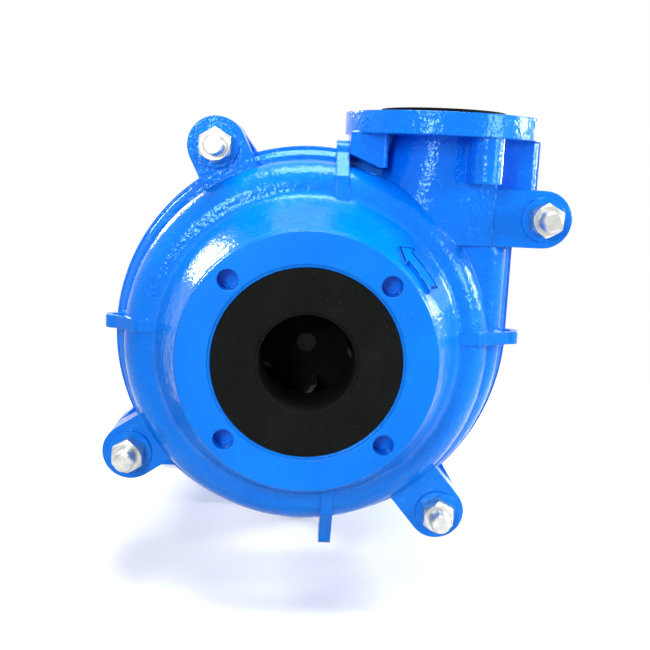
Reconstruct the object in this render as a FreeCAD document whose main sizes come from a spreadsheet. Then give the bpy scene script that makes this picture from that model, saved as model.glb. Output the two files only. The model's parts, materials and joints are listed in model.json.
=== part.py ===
import FreeCAD, Part
import math
import os
import Sketcher

# Rubber-lined centrifugal slurry pump, in millimetres.  The origin is the centre of the intake
# flange face.  +Y runs along the shaft to the drive end, +Z is up and +X is the discharge side.

SIZES = [
    # casing, front to back
    ("intake_flange_radius", 121.8, "outer radius of the intake flange"),
    ("intake_flange_thick", 7, "thickness of the intake flange"),
    ("intake_bolt_radius", 105, "bolt circle radius of the intake flange"),
    ("intake_hole_radius", 9.75, "radius of the intake bolt holes"),
    ("intake_hole_depth", 20, "depth of the intake bolt holes"),
    ("split_depth", 130, "plane where the casing halves meet"),
    ("joint_gap", 0.3, "gap between pieces that seat on each other"),
    ("dome_depth", 60, "from the split plane to the face of each half's dome"),
    ("dome_radius", 183.5, "outer radius of the domes"),
    ("dome_round", 26, "rounding of the domes"),
    ("volute_depth", 40, "from the split plane to the face of the volute"),
    ("volute_round", 20, "rounding of the volute"),
    ("volute_radius", 174, "outer radius of the volute at its start"),
    ("volute_growth", 10, "growth of the volute over its first quarter"),
    ("volute_lift", 4, "growth of the volute over its second quarter"),
    ("volute_passage_depth", 20, "from the split plane to the side of the volute passage"),
    ("volute_side_top", 104, "height where the straight side of the volute ends"),
    ("hub_root_radius", 150, "radius where the hub cone meets the dome"),
    ("hub_root_round", 11, "rounding of the groove between the hub and the dome"),
    ("shell_wall", 10.5, "iron wall of the casing halves"),
    ("liner_wall", 19.5, "rubber wall of the liners"),
    ("rim_radius", 194, "radius of the joint rim"),
    ("rim_rise", 11, "how far the rim's right side stands out"),
    ("rim_side_top", 108, "height where the rim turns out to the neck"),
    ("rim_neck_side", 226, "right side of the rim beside the neck"),
    ("rim_neck_left", 42, "left side of the rim beside the neck"),
    ("rim_thick", 12, "thickness of each joint rim"),
    ("rim_chamfer", 5, "chamfer on the outer edge of the rims"),
    ("rim_step", 4, "how far the rear rim stands outside the front one"),
    # discharge
    ("discharge_x", 128.5, "discharge axis to the right of the shaft"),
    ("discharge_top", 232.7, "height of the discharge flange face"),
    ("discharge_flange_thick", 21.4, "thickness of the discharge flange"),
    ("discharge_flange_radius", 98, "outer radius of the discharge flange"),
    ("discharge_bolt_radius", 80, "bolt circle radius of the discharge flange"),
    ("discharge_hole_radius", 9, "radius of the discharge bolt holes"),
    ("discharge_boss_radius", 15, "radius of the bosses under the discharge holes"),
    ("discharge_boss_height", 32, "height of the bosses under the discharge flange"),
    ("discharge_long_boss", 43, "height of the boss beside the arm"),
    ("discharge_block_left", 34, "left side of the block round the boss beside the top lug"),
    ("discharge_block_slant", 12, "how far the underside of that block rises to the left"),
    ("discharge_bore_radius", 37.5, "radius of the discharge passage"),
    ("discharge_face_radius", 62.5, "radius of the rubber face on the discharge"),
    ("discharge_face_rise", 5, "how far the rubber face stands above the flange"),
    ("discharge_face_seat", 8, "depth of the seat for the rubber face"),
    ("neck_wall", 7, "iron wall of the neck"),
    ("neck_liner_wall", 6.5, "rubber wall of the neck"),
    ("neck_foot_bend", 85, "radius of the neck's bend at its foot"),
    # intake
    ("intake_recess_radius", 91.2, "radius of the recess round the rubber face"),
    ("intake_recess_depth", 1.5, "depth of that recess"),
    ("intake_face_radius", 87.8, "radius of the rubber face on the intake"),
    ("intake_face_thick", 12, "thickness of the rubber face on the intake"),
    ("throat_radius", 45, "radius of the rubber throat"),
    ("throat_lip", 3.4, "rounding of the throat's lip"),
    ("throat_wall", 27, "rubber wall of the throat"),
    # ears and casing bolts
    ("ear_radius", 28.4, "tip radius of the bolt ears"),
    ("ear_front", 90, "front face of the bolt ears"),
    ("ear_back_gap", 3, "from each ear's back face to the split plane"),
    ("ear_root", 120, "radius where the ears start inside the casing"),
    ("ear_flare", 17, "how much wider the rear ears are at their root"),
    ("rear_ear_depth", 165, "back face of the rear ears"),
    ("ear_pad_radius", 22, "radius of the raised pad on each ear"),
    ("ear_pad_rise", 2.5, "height of the raised pad on each ear"),
    ("ear_one_x", -95.6, "upper left ear, across"),
    ("ear_one_z", 193.3, "upper left ear, height"),
    ("ear_two_x", 229, "right ear, across"),
    ("ear_two_z", 136, "right ear, height"),
    ("ear_three_x", -175.5, "lower left ear, across"),
    ("ear_three_z", -118.4, "lower left ear, height"),
    ("ear_four_x", 142.7, "lower right ear, across"),
    ("ear_four_z", -171, "lower right ear, height"),
    ("cover_bolt_radius", 10, "shank radius of the casing bolts"),
    ("cover_bolt_end", 52, "end of the casing bolts"),
    ("cover_nut_flats", 30, "width across flats of the casing nuts"),
    ("cover_nut_height", 18, "height of the casing nuts"),
    ("cover_head_height", 12.5, "height of the casing bolt heads"),
    ("bolt_clearance", 1, "radial clearance of bolts in plain holes"),
    ("thread_clearance", 0.05, "radial clearance of a thread in its mate"),
    # lifting lugs
    ("lug_thick", 12.5, "thickness of the lifting lugs"),
    ("lug_offset_x", 27.5, "top and bottom lugs, right of the shaft"),
    ("lug_offset_z", 16, "side lugs, above the shaft"),
    ("lug_top_reach", 204, "reach of the top lug"),
    ("lug_bottom_reach", 213, "reach of the bottom lug"),
    ("lug_left_reach", 203, "reach of the left lug"),
    ("lug_right_reach", 215, "reach of the right lug"),
    ("lug_eye_radius", 7, "radius of the eye in each lug"),
    ("lug_tip_radius", 11, "tip radius of each lug"),
    ("lug_eye_depth", 100, "depth of the eye's axis"),
    # rotating parts of the wet end
    ("impeller_radius", 122.5, "outer radius of the impeller"),
    ("impeller_outlet", 30, "width between the shrouds at the rim"),
    ("shroud_thick", 11, "thickness of the shrouds"),
    ("eye_radius", 47, "radius of the impeller eye"),
    ("eye_wall", 11, "wall of the impeller eye"),
    ("eye_front", 77, "front face of the impeller eye"),
    ("expeller_rise", 4, "height of the expelling vanes"),
    ("impeller_gap", 3.5, "running gap each side of the impeller"),
    ("hub_radius", 31, "radius of the impeller hub"),
    ("hub_back", 188, "back face of the impeller hub"),
    ("shaft_nose", 118, "front end of the shaft in the impeller"),
    # gland
    ("shaft_thread_radius", 19, "radius of the shaft in the impeller"),
    ("sleeve_seat_radius", 21, "radius of the shaft under the sleeve"),
    ("sleeve_radius", 29, "outer radius of the shaft sleeve"),
    ("sleeve_back", 330, "back end of the shaft sleeve"),
    ("insert_thick", 20, "thickness of the frame plate insert"),
    ("running_clearance", 0.05, "radial clearance of running fits"),
    ("box_bore_radius", 42, "radius of the packing bore"),
    ("box_flange_radius", 95, "radius of the stuffing box flange"),
    ("box_flange_thick", 18, "thickness of the stuffing box flange"),
    ("box_radius", 64, "outer radius of the stuffing box"),
    ("box_back", 290, "back face of the stuffing box"),
    ("packing_start", 214, "front of the packing"),
    ("lantern_length", 16, "length of the lantern ring"),
    ("water_hole_radius", 6, "radius of the gland water hole"),
    ("packing_size", 12.7, "side of the square packing"),
    ("gland_flange_thick", 16, "thickness of the gland flange"),
    ("gland_back_travel", 30, "how far the gland can be drawn back"),
    ("gland_bolt_radius", 6, "shank radius of the gland bolts"),
    ("gland_bolt_reach", 74, "gland bolts, from the shaft axis"),
    ("gland_nut_flats", 18, "width across flats of the gland nuts"),
    ("gland_nut_height", 10, "height of the gland nuts"),
    # frame plate back and base
    ("frame_back", 236, "back face of the frame plate"),
    ("frame_ring_radius", 174, "outer radius of the ring at the back"),
    ("frame_ring_bore", 122, "bore of the ring at the back"),
    ("frame_stud_circle", 138, "stud circle radius at the back"),
    ("frame_stud_radius", 8, "radius of the frame studs"),
    ("frame_nut_flats", 24, "width across flats of M16 nuts"),
    ("frame_nut_height", 13, "height of M16 nuts"),
    ("base_ring_thick", 16.5, "thickness of the ring of the base"),
    ("base_wall", 14, "iron wall of the base"),
    ("base_floor", -254, "height of the floor below the shaft"),
    ("base_half_width", 203, "half the width over the feet"),
    ("foot_thick", 22, "thickness of the feet"),
    ("foot_length", 60, "length of each foot along the shaft"),
    ("front_foot", 482, "front feet holes, along the shaft"),
    ("foot_spacing_y", 175, "spacing of the feet holes along the shaft"),
    ("foot_spacing_x", 356, "spacing of the feet holes across"),
    ("foot_hole_radius", 11, "radius of the feet holes"),
    ("cradle_front", 404, "front face of the cradle"),
    ("cradle_inset", 38, "from the back of the cradle to the back of the bearing housing"),
    ("cradle_half_width", 132, "half the width of the cradle"),
    ("cradle_shoulder", 52, "from the shaft axis down to the shoulders of the cradle"),
    ("cradle_drop", 106, "from the shaft axis down to the underside of the cradle"),
    ("cradle_room", 5, "room between the bearing housing and the cradle"),
    ("trough_half_width", 168, "half the width of the trough behind the ring"),
    ("trough_shoulder", 42, "from the shaft axis down to the shoulders of the trough there"),
    ("trough_drop", 132, "from the shaft axis down to the underside of the trough there"),
    ("trough_top", 28, "top of the trough's sides there"),
    ("rail_top", 4, "top of the bearing housing's rails"),
    ("rail_thick", 18, "thickness of the bearing housing's rails"),
    ("rail_reach", 108, "reach of the rails from the shaft axis"),
    ("sole_half_width", 56, "half the width of the front sole"),
    ("sole_front", 304, "front end of the front sole"),
    # bearing assembly
    ("housing_front", 412, "front face of the bearing housing"),
    ("housing_length", 278, "length of the bearing housing"),
    ("housing_radius", 80, "outer radius of the bearing housing"),
    ("bearing_radius", 55, "outer radius of the bearings"),
    ("bearing_bore", 27.5, "bore radius of the bearings"),
    ("bearing_width", 30, "width of the bearings"),
    ("bearing_inset", 16, "from the housing's faces to the bearings"),
    ("roller_radius", 5.4, "radius of the bearing rollers"),
    ("roller_circle", 41, "pitch radius of the bearing rollers"),
    ("roller_gap", 0.3, "gap round the rollers"),
    ("bearing_rib", 3, "width of the ribs beside the rollers"),
    ("end_cover_thick", 12, "thickness of the end covers"),
    ("labyrinth_radius", 40, "radius of the labyrinths"),
    ("shaft_middle_radius", 33, "radius of the shaft between the bearings"),
    ("shaft_seal_radius", 25, "radius of the shaft under the labyrinths"),
    ("drive_radius", 21, "radius of the drive end of the shaft"),
    ("locknut_room", 14, "room for the locknut in front of the drive end"),
    ("drive_length", 85, "length of the drive end"),
    ("key_width", 12, "width of the drive key"),
    ("key_height", 8, "height of the drive key"),
    ("key_length", 63, "length of the drive key"),
    ("adjust_radius", 8, "radius of the adjusting screw"),
    ("adjust_drop", 106, "adjusting screw, below the shaft"),
]

os.makedirs("parts", exist_ok=True)
doc = FreeCAD.newDocument("SlurryPump")
sheet = doc.addObject("Spreadsheet::Sheet", "Sizes")
sheet.Label = "sizes"
for row, (alias, value, meaning) in enumerate(SIZES, start=1):
    sheet.set("A%d" % row, meaning)
    sheet.set("B%d" % row, str(value))
    sheet.setAlias("B%d" % row, alias)
doc.recompute()


class Size:
    """A length that knows its number and the expression on the sheet that gives it."""

    def __init__(self, value, text):
        self.value = value
        self.text = text

    def __add__(self, other):
        other = size(other)
        return Size(self.value + other.value, "(%s + %s)" % (self.text, other.text))

    def __sub__(self, other):
        other = size(other)
        return Size(self.value - other.value, "(%s - %s)" % (self.text, other.text))

    def __mul__(self, other):
        other = size(other)
        return Size(self.value * other.value, "(%s * %s)" % (self.text, other.text))

    def __truediv__(self, other):
        other = size(other)
        return Size(self.value / other.value, "(%s / %s)" % (self.text, other.text))

    def __radd__(self, other):
        return size(other) + self

    def __rsub__(self, other):
        return size(other) - self

    def __rmul__(self, other):
        return size(other) * self

    def __neg__(self):
        return Size(-self.value, "(0 - %s)" % self.text)


def size(number):
    """A plain number as a Size."""
    if isinstance(number, Size):
        return number
    return Size(float(number), "(%.9f)" % number)


def root(number):
    return Size(math.sqrt(number.value), "sqrt(%s)" % number.text)


class Named:
    """The cells of the sheet, read by their aliases."""

    def __getattr__(self, alias):
        return Size(float(sheet.get(alias)), "<<sizes>>.%s" % alias)


s = Named()


# ---------------------------------------------------------------- sketches and features


def new_body(name):
    body = doc.addObject("PartDesign::Body", name.title().replace("_", ""))
    body.Label = name
    return body


def origin_feature(body, role):
    return next(feature for feature in body.Origin.OriginFeatures if feature.Role == role)


def attach(body, role, name, offset=0, across=0, up=0):
    """A sketch on one of the body's origin planes, moved off it by Sizes."""
    sketch = body.newObject("Sketcher::SketchObject", name)
    sketch.AttachmentSupport = [(origin_feature(body, role), "")]
    sketch.MapMode = "FlatFace"
    for axis, distance in (("x", across), ("y", up), ("z", offset)):
        if isinstance(distance, Size):
            sketch.setExpression("AttachmentOffset.Base.%s" % axis, distance.text)
    return sketch


def arc_between(start, end, radius):
    """An arc from start to end, turning left for a positive radius and right for a negative one."""
    start = FreeCAD.Vector(*start, 0)
    end = FreeCAD.Vector(*end, 0)
    chord = end - start
    left = FreeCAD.Vector(-chord.y, chord.x, 0).normalize()
    height = math.sqrt(max(radius * radius - chord.Length * chord.Length / 4, 0))
    centre = (start + end) / 2 + left * math.copysign(height, radius)
    circle = Part.Circle(centre, FreeCAD.Vector(0, 0, 1), abs(radius))
    if radius < 0:
        start, end = end, start
    return Part.ArcOfCircle(circle, circle.parameter(start), circle.parameter(end))


def bind(sketch, kind, *place):
    """A constraint whose value is the Size that comes last."""
    distance = place[-1]
    number = sketch.addConstraint(Sketcher.Constraint(kind, *place[:-1], distance.value))
    sketch.setExpression("Constraints[%d]" % number, distance.text)


def draw(sketch, corners):
    """A closed outline.  A corner is (u, v), or (u, v, radius) where the side after it is an arc."""
    corners = [[size(part) for part in corner] for corner in corners]
    count = len(corners)
    first = sketch.GeometryCount
    ends = []
    for index, corner in enumerate(corners):
        start = (corner[0].value, corner[1].value)
        following = corners[(index + 1) % count]
        end = (following[0].value, following[1].value)
        if len(corner) == 3:
            sketch.addGeometry(arc_between(start, end, corner[2].value), False)
            ends.append((1, 2) if corner[2].value > 0 else (2, 1))
        else:
            sketch.addGeometry(Part.LineSegment(FreeCAD.Vector(*start, 0), FreeCAD.Vector(*end, 0)), False)
            ends.append((1, 2))
    for index, corner in enumerate(corners):
        following = (index + 1) % count
        side = first + index
        sketch.addConstraint(Sketcher.Constraint(
            "Coincident", side, ends[index][1], first + following, ends[following][0]))
        bind(sketch, "DistanceX", -1, 1, side, ends[index][0], corner[0])
        bind(sketch, "DistanceY", -1, 1, side, ends[index][0], corner[1])
        if len(corner) == 3:
            bind(sketch, "Radius", side, corner[2] if corner[2].value > 0 else -corner[2])


def draw_circle(sketch, u, v, radius):
    u, v, radius = size(u), size(v), size(radius)
    centre = FreeCAD.Vector(u.value, v.value, 0)
    circle = Part.Circle(centre, FreeCAD.Vector(0, 0, 1), radius.value)
    number = sketch.addGeometry(circle, False)
    bind(sketch, "DistanceX", -1, 1, number, 3, u)
    bind(sketch, "DistanceY", -1, 1, number, 3, v)
    bind(sketch, "Radius", number, radius)


def add_outline(sketch, outline):
    """An outline is a list of corners, or (u, v, radius) alone for a circle."""
    if isinstance(outline, list):
        draw(sketch, outline)
    else:
        draw_circle(sketch, *outline)


def extrude(body, role, name, outlines, low, high, cut):
    """A pad or pocket of outlines between two distances along the plane's axis."""
    low, high = size(low), size(high)
    backwards = role == "XZ_Plane"
    offset = -low if backwards else low
    sketch = attach(body, role, name + "Sketch", offset)
    for outline in outlines:
        add_outline(sketch, outline)
    feature = body.newObject("PartDesign::Pocket" if cut else "PartDesign::Pad", name)
    feature.Profile = sketch
    feature.setExpression("Length", (high - low).text)
    feature.Reversed = backwards != cut
    body.Tip = feature
    return feature


def slab(body, name, outlines, front, back, cut=False):
    """Material between two depths along the shaft, its outlines in across and height."""
    return extrude(body, "XZ_Plane", name, outlines, front, back, cut)


def column(body, name, outlines, bottom, top, cut=False):
    """Material between two heights, its outlines in across and depth."""
    return extrude(body, "XY_Plane", name, outlines, bottom, top, cut)


def fin(body, name, outlines, left, right, cut=False):
    """Material between two distances across, its outlines in depth and height."""
    return extrude(body, "YZ_Plane", name, outlines, left, right, cut)


def turn(body, name, corners, across=0, height=0, cut=False):
    """A profile of (radius, depth) turned about an axis along the shaft."""
    sketch = attach(body, "XY_Plane", name + "Sketch", height, across)
    draw(sketch, corners)
    feature = body.newObject("PartDesign::Groove" if cut else "PartDesign::Revolution", name)
    feature.Profile = sketch
    feature.ReferenceAxis = (sketch, ["V_Axis"])
    feature.Angle = 360
    body.Tip = feature
    return feature


def blend(body, name, outline, place, end_outline, end_place, role="XZ_Plane"):
    """Material between two outlines of like corners, at two depths or at two heights."""
    sketches = []
    for label, corners, distance in (("Start", outline, place), ("End", end_outline, end_place)):
        sketch = attach(body, role, name + label, -distance if role == "XZ_Plane" else distance)
        add_outline(sketch, corners)
        sketches.append(sketch)
    feature = body.newObject("PartDesign::AdditiveLoft", name)
    feature.Profile = sketches[0]
    feature.Sections = [sketches[1]]
    feature.Ruled = True
    body.Tip = feature
    return feature


def turned_piece(name, corners):
    body = new_body(name)
    turn(body, "Profile", corners)
    return body


def polar(body, name, features, count):
    """Copies of features round the shaft axis."""
    pattern = body.newObject("PartDesign::PolarPattern", name)
    pattern.Originals = features
    pattern.Axis = (origin_feature(body, "Y_Axis"), [""])
    pattern.Angle = 360
    pattern.Occurrences = count
    body.Tip = pattern
    return pattern


def edges_of(feature, test):
    """Names of the edges of a feature that pass a test."""
    doc.recompute()
    return ["Edge%d" % number for number, edge in enumerate(feature.Shape.Edges, start=1) if test(edge)]


def dress(body, kind, name, feature, test, amount):
    """A fillet or chamfer on the edges that pass a test."""
    names = edges_of(feature, test)
    if not names:
        raise ValueError("%s finds no edges" % name)
    result = body.newObject("PartDesign::" + kind, name)
    result.Base = (feature, names)
    result.setExpression("Radius" if kind == "Fillet" else "Size", size(amount).text)
    body.Tip = result
    return result


def at_depth(depth, low=0.0, high=1e9, tolerance=0.01):
    """A test for edges that lie in one plane across the shaft, within two radii."""
    def test(edge):
        box = edge.BoundBox
        flat = abs(box.YMin - depth) < tolerance and abs(box.YMax - depth) < tolerance
        radii = [math.hypot(vertex.X, vertex.Z) for vertex in edge.Vertexes]
        return flat and all(low <= radius <= high for radius in radii)
    return test


# ---------------------------------------------------------------- outlines


def circle(radius, across=0, height=0):
    return (size(across), size(height), size(radius))


def hexagon(flats, across=0, height=0):
    """Six corners round a centre, two of the sides upright."""
    reach = size(flats) / math.sqrt(3)
    corners = []
    for step in range(6):
        turn_angle = math.radians(30 + 60 * step)
        corners.append((across + reach * math.cos(turn_angle), height + reach * math.sin(turn_angle)))
    return corners


def volute(inset):
    """The spiral of the casing seen from the front, drawn in by a wall."""
    start = s.volute_radius - inset
    second = start + s.volute_growth
    third = second + s.volute_lift
    side = s.volute_growth + third
    neck = start * 0.5
    return [
        (neck, start * math.sqrt(0.75), start),
        (-start, size(0), second),
        (s.volute_growth, -second, third),
        (side, s.volute_lift),
        (side, s.volute_side_top - inset),
        (s.discharge_x + s.discharge_bore_radius + 4, s.volute_side_top + 46 - inset),
    ]


def rim(step):
    """The joint rim, drawn out by a step."""
    radius = s.rim_radius + step
    right = radius + s.rim_rise
    left = s.rim_neck_left - step
    under = s.discharge_top - s.discharge_flange_thick
    return [
        (left, root(radius * radius - left * left), radius),
        (-radius, size(0), radius),
        (size(0), -radius, right),
        (right, s.rim_rise),
        (right, s.rim_side_top),
        (s.rim_neck_side + step, s.rim_side_top + 14),
        (s.rim_neck_side + step, under),
        (left, under),
    ]


def ears():
    """Each ear's bolt place, the way it points and how far in it starts."""
    places = []
    for number in ("one", "three", "four"):
        across = getattr(s, "ear_%s_x" % number)
        height = getattr(s, "ear_%s_z" % number)
        reach = root(across * across + height * height)
        places.append((across, height, across / reach, height / reach, reach - s.ear_root))
    places.append((s.ear_two_x, s.ear_two_z, size(1), size(0), s.ear_two_x - s.discharge_x))
    return places


def ear_outline(across, height, along_x, along_z, length, radius, flare=0):
    """An ear with a round tip, its root in the casing and its sides parallel or flared."""
    wide = radius + flare
    inner_x = across - length * along_x
    inner_z = height - length * along_z
    return [
        (inner_x + wide * along_z, inner_z - wide * along_x),
        (across + radius * along_z, height - radius * along_x, radius),
        (across + radius * along_x, height + radius * along_z, radius),
        (across - radius * along_z, height + radius * along_x),
        (inner_x - wide * along_z, inner_z + wide * along_x),
    ]


def half_disc(radius, sign, gap):
    """Half a disc about the discharge axis, on one side of the split plane and a gap off it."""
    near = size(gap)
    split = s.split_depth + near * sign
    reach = root(radius * radius - near * near)
    ends = [s.discharge_x - reach, s.discharge_x + reach]
    if sign > 0:
        ends.reverse()
    return [
        (ends[0], split, radius),
        (s.discharge_x, s.split_depth + radius * sign, radius),
        (ends[1], split),
    ]


def from_split(sign, near, far):
    """Two depths, low before high, at distances in front of (-1) or behind (1) the split plane."""
    near, far = size(near), size(far)
    if sign < 0:
        return s.split_depth - far, s.split_depth - near
    return s.split_depth + near, s.split_depth + far


HALF_GAP = s.joint_gap / 2
NECK_FOOT = s.volute_side_top - 44
FLANGE_UNDER = s.discharge_top - s.discharge_flange_thick
NECK_RADIUS = s.discharge_bore_radius + s.neck_liner_wall + s.neck_wall
NECK_SEAT = s.discharge_bore_radius + s.neck_liner_wall
CAVITY_DEPTH = s.dome_depth - s.shell_wall
WET_INSET = s.shell_wall + s.liner_wall
WET_DEPTH = s.impeller_outlet / 2 + s.shroud_thick + s.expeller_rise + s.impeller_gap
FACE_FRONT = s.split_depth - s.dome_depth
FACE_BACK = s.split_depth + s.dome_depth
LINER_TOP = s.discharge_top + s.discharge_face_rise
BOX_FRONT = s.split_depth + WET_DEPTH + s.insert_thick + s.joint_gap
PACKING_RINGS = 4
FRONT_RINGS = 3
LANTERN_FRONT = s.packing_start + s.packing_size * FRONT_RINGS
WATER_DEPTH = LANTERN_FRONT + s.lantern_length / 2


# ---------------------------------------------------------------- casing halves


FLANGE_TURN = math.radians(25)
NECK_TILT = math.radians(11)


def discharge_holes(sign):
    """Centres of the two discharge bolts on one side of the split plane."""
    far = s.discharge_bolt_radius * math.cos(FLANGE_TURN) * sign
    near = s.discharge_bolt_radius * math.sin(FLANGE_TURN) * sign
    return [(s.discharge_x + far, s.split_depth + near), (s.discharge_x - near, s.split_depth + far)]


def dome(body, sign, near, inset, bevelled):
    """The round part of a half, drawn in by a wall; its edge is bevelled or rounded."""
    outer = s.dome_radius - inset
    bend = s.dome_round - inset
    crown = s.dome_depth - inset
    corner = (outer, s.split_depth + (crown - bend) * sign)
    if not bevelled:
        corner = (*corner, bend * sign)
    turn(body, "Dome", [
        (0, s.split_depth + size(near) * sign), (outer, s.split_depth + size(near) * sign), corner,
        (outer - bend, s.split_depth + crown * sign), (0, s.split_depth + crown * sign)])


def neck_section(sign, bend):
    """Half the neck: a bend on the volute's side, then a face that runs flat into the arm."""
    sine, cosine = math.sin(NECK_TILT), math.cos(NECK_TILT)
    centre = s.discharge_x + (NECK_RADIUS - bend) * sine
    drop = HALF_GAP - (NECK_RADIUS - bend) * cosine
    left = centre - root(bend * bend - drop * drop)
    right = s.discharge_x + NECK_RADIUS
    face = NECK_RADIUS * (cosine - (1 - sine) * math.tan(NECK_TILT))
    return [
        (left, s.split_depth + HALF_GAP * sign, bend * -sign),
        (s.discharge_x + NECK_RADIUS * sine, s.split_depth + NECK_RADIUS * cosine * sign),
        (right, s.split_depth + face * sign),
        (right, s.split_depth + HALF_GAP * sign),
    ]


def discharge_boss(body, name, place, sign, height):
    """A boss under a discharge hole, which runs back into the neck and the rim."""
    across, depth = place
    half = s.discharge_boss_radius
    split = s.split_depth + HALF_GAP * sign
    outline = [
        (across - half, split), (across - half, depth, half * -sign),
        (across, depth + half * sign, half * -sign), (across + half, depth), (across + half, split)]
    column(body, name, [outline], FLANGE_UNDER - height, FLANGE_UNDER + 1)


def discharge_block(body):
    """The block round the boss beside the top lug, its underside slanted and its free edge round."""
    across, depth = discharge_holes(-1)[0]
    half = s.discharge_boss_radius
    low = FLANGE_UNDER - s.discharge_boss_height
    high = FLANGE_UNDER + 1
    right = across + half
    block = slab(body, "DischargeBlock", [[
        (s.discharge_block_left, high), (s.discharge_block_left, low + s.discharge_block_slant),
        (right - 8, low), (right, low), (right, high)]], depth - half, s.split_depth - HALF_GAP)

    def free_edge(edge):
        box = edge.BoundBox
        ends = abs(box.XMax - right.value) + abs(box.XMin - right.value)
        front = (depth - half).value
        return ends + abs(box.YMax - front) + abs(box.YMin - front) < 0.01
    dress(body, "Fillet", "DischargeBlockRound", block, free_edge, 6)


def casing_half(name, sign, rim_step):
    """What both iron halves share: volute, dome, rim and neck."""
    body = new_body(name)
    low, high = from_split(sign, HALF_GAP, s.volute_depth)
    face = low if sign < 0 else high
    shoulder = slab(body, "Volute", [volute(0)], low, high)
    kind = "Fillet" if sign < 0 else "Chamfer"
    dress(body, kind, "VoluteRound", shoulder, at_depth(face.value), s.volute_round)
    dome(body, sign, HALF_GAP, size(0), bevelled=sign > 0)
    bevel_start = s.split_depth + (s.rim_thick - s.rim_chamfer) * sign
    bevel_end = s.split_depth + s.rim_thick * sign
    slab(body, "JointRim", [rim(rim_step)], *from_split(sign, HALF_GAP, s.rim_thick - s.rim_chamfer))
    blend(body, "RimBevel", rim(rim_step), bevel_start, rim(rim_step - s.rim_chamfer), bevel_end)
    blend(body, "Neck", neck_section(sign, s.neck_foot_bend), s.ear_two_z - s.ear_radius,
          neck_section(sign, NECK_RADIUS), FLANGE_UNDER + 1, "XY_Plane")
    return body


def casing_fittings(body, sign, ear_depths, ear_flare):
    """The discharge flange and the ears."""
    column(body, "DischargeFlange", [half_disc(s.discharge_flange_radius, sign, HALF_GAP)],
           FLANGE_UNDER, s.discharge_top)
    for number, ear in enumerate(ears(), start=1):
        outline = ear_outline(*ear, s.ear_radius, ear_flare)
        slab(body, "Ear%d" % number, [outline], *ear_depths)


def casing_holes(body, sign, ear_depths):
    """The holes for the discharge bolts and the casing bolts."""
    holes = [(x, y, s.discharge_hole_radius) for x, y in discharge_holes(sign)]
    column(body, "DischargeHoles", holes, FLANGE_UNDER - s.discharge_long_boss - 1,
           s.discharge_top + 1, cut=True)
    bolts = [circle(s.cover_bolt_radius + s.bolt_clearance, ear[0], ear[1]) for ear in ears()]
    slab(body, "CasingBoltHoles", bolts, ear_depths[0] - s.ear_pad_rise - 1,
         ear_depths[1] + s.ear_pad_rise + 1, cut=True)


def liner_form(name, sign, gap, past, top):
    """The outside of a rubber liner; with no gap and drawn past the split it is the iron's core."""
    body = new_body(name)
    wall = s.shell_wall + gap
    low, high = from_split(sign, -past, s.volute_depth - wall)
    floor = low if sign < 0 else high
    shell = slab(body, "Shell", [volute(wall)], low, high)
    dress(body, "Chamfer", "ShellBevel", shell, at_depth(floor.value), s.volute_round - wall)
    dome(body, sign, -past, wall, bevelled=True)
    column(body, "Neck", [half_disc(NECK_SEAT - gap, sign, -past)], NECK_FOOT + gap, top)
    column(body, "Face", [half_disc(s.discharge_face_radius + s.joint_gap - gap, sign, -past)],
           s.discharge_top - s.discharge_face_seat + gap, top)
    return body


def cored(name, outside, sign):
    """An iron half with the room for its liner taken out."""
    core = liner_form(name + "_core", sign, size(0), size(1), s.discharge_top + 1)
    result = doc.addObject("Part::Cut", name.title().replace("_", "") + "Cored")
    result.Base = outside
    result.Tool = core
    result.Label = name
    return result


def lug_outline(reach):
    """A lug in (reach, depth): its front runs out from the groove and bends to the tip."""
    tip = s.lug_tip_radius
    front = s.lug_eye_depth - tip
    back = s.lug_eye_depth + tip
    return [
        (s.hub_root_radius - 8, FACE_FRONT - 4),
        (s.hub_root_radius + 20, FACE_FRONT),
        (reach - tip, front, tip),
        (reach, s.lug_eye_depth, tip),
        (reach - tip, back),
        (s.rim_radius - 8, s.split_depth - HALF_GAP),
        (s.hub_root_radius - 8, s.split_depth - HALF_GAP),
    ]


def turned_corners(corners, swap, sign):
    """The corners of a lug swapped and reflected into the plane that holds it."""
    placed = []
    for corner in corners:
        first, second = size(corner[0]) * sign, size(corner[1])
        pair = (second, first) if swap else (first, second)
        bend = () if len(corner) == 2 else (size(corner[2]) * (-sign if swap else sign),)
        placed.append(pair + bend)
    return placed


def lugs(body):
    """Four lifting lugs that stand out from the shoulder, with an eye in each."""
    half = s.lug_thick / 2
    for name, reach, swap, sign, centre in (
            ("Top", s.lug_top_reach, True, 1, s.lug_offset_x),
            ("Bottom", s.lug_bottom_reach, True, -1, s.lug_offset_x),
            ("Left", s.lug_left_reach, False, -1, s.lug_offset_z),
            ("Right", s.lug_right_reach, False, 1, s.lug_offset_z)):
        outline = turned_corners(lug_outline(reach), swap, sign)
        eye = turned_corners([(reach - s.lug_tip_radius - 3, s.lug_eye_depth)], swap, sign)[0]
        build = fin if swap else column
        build(body, name + "Lug", [outline], centre - half, centre + half)
        build(body, name + "Eye", [(eye[0], eye[1], s.lug_eye_radius)], centre - half - 1,
              centre + half + 1, cut=True)


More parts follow.
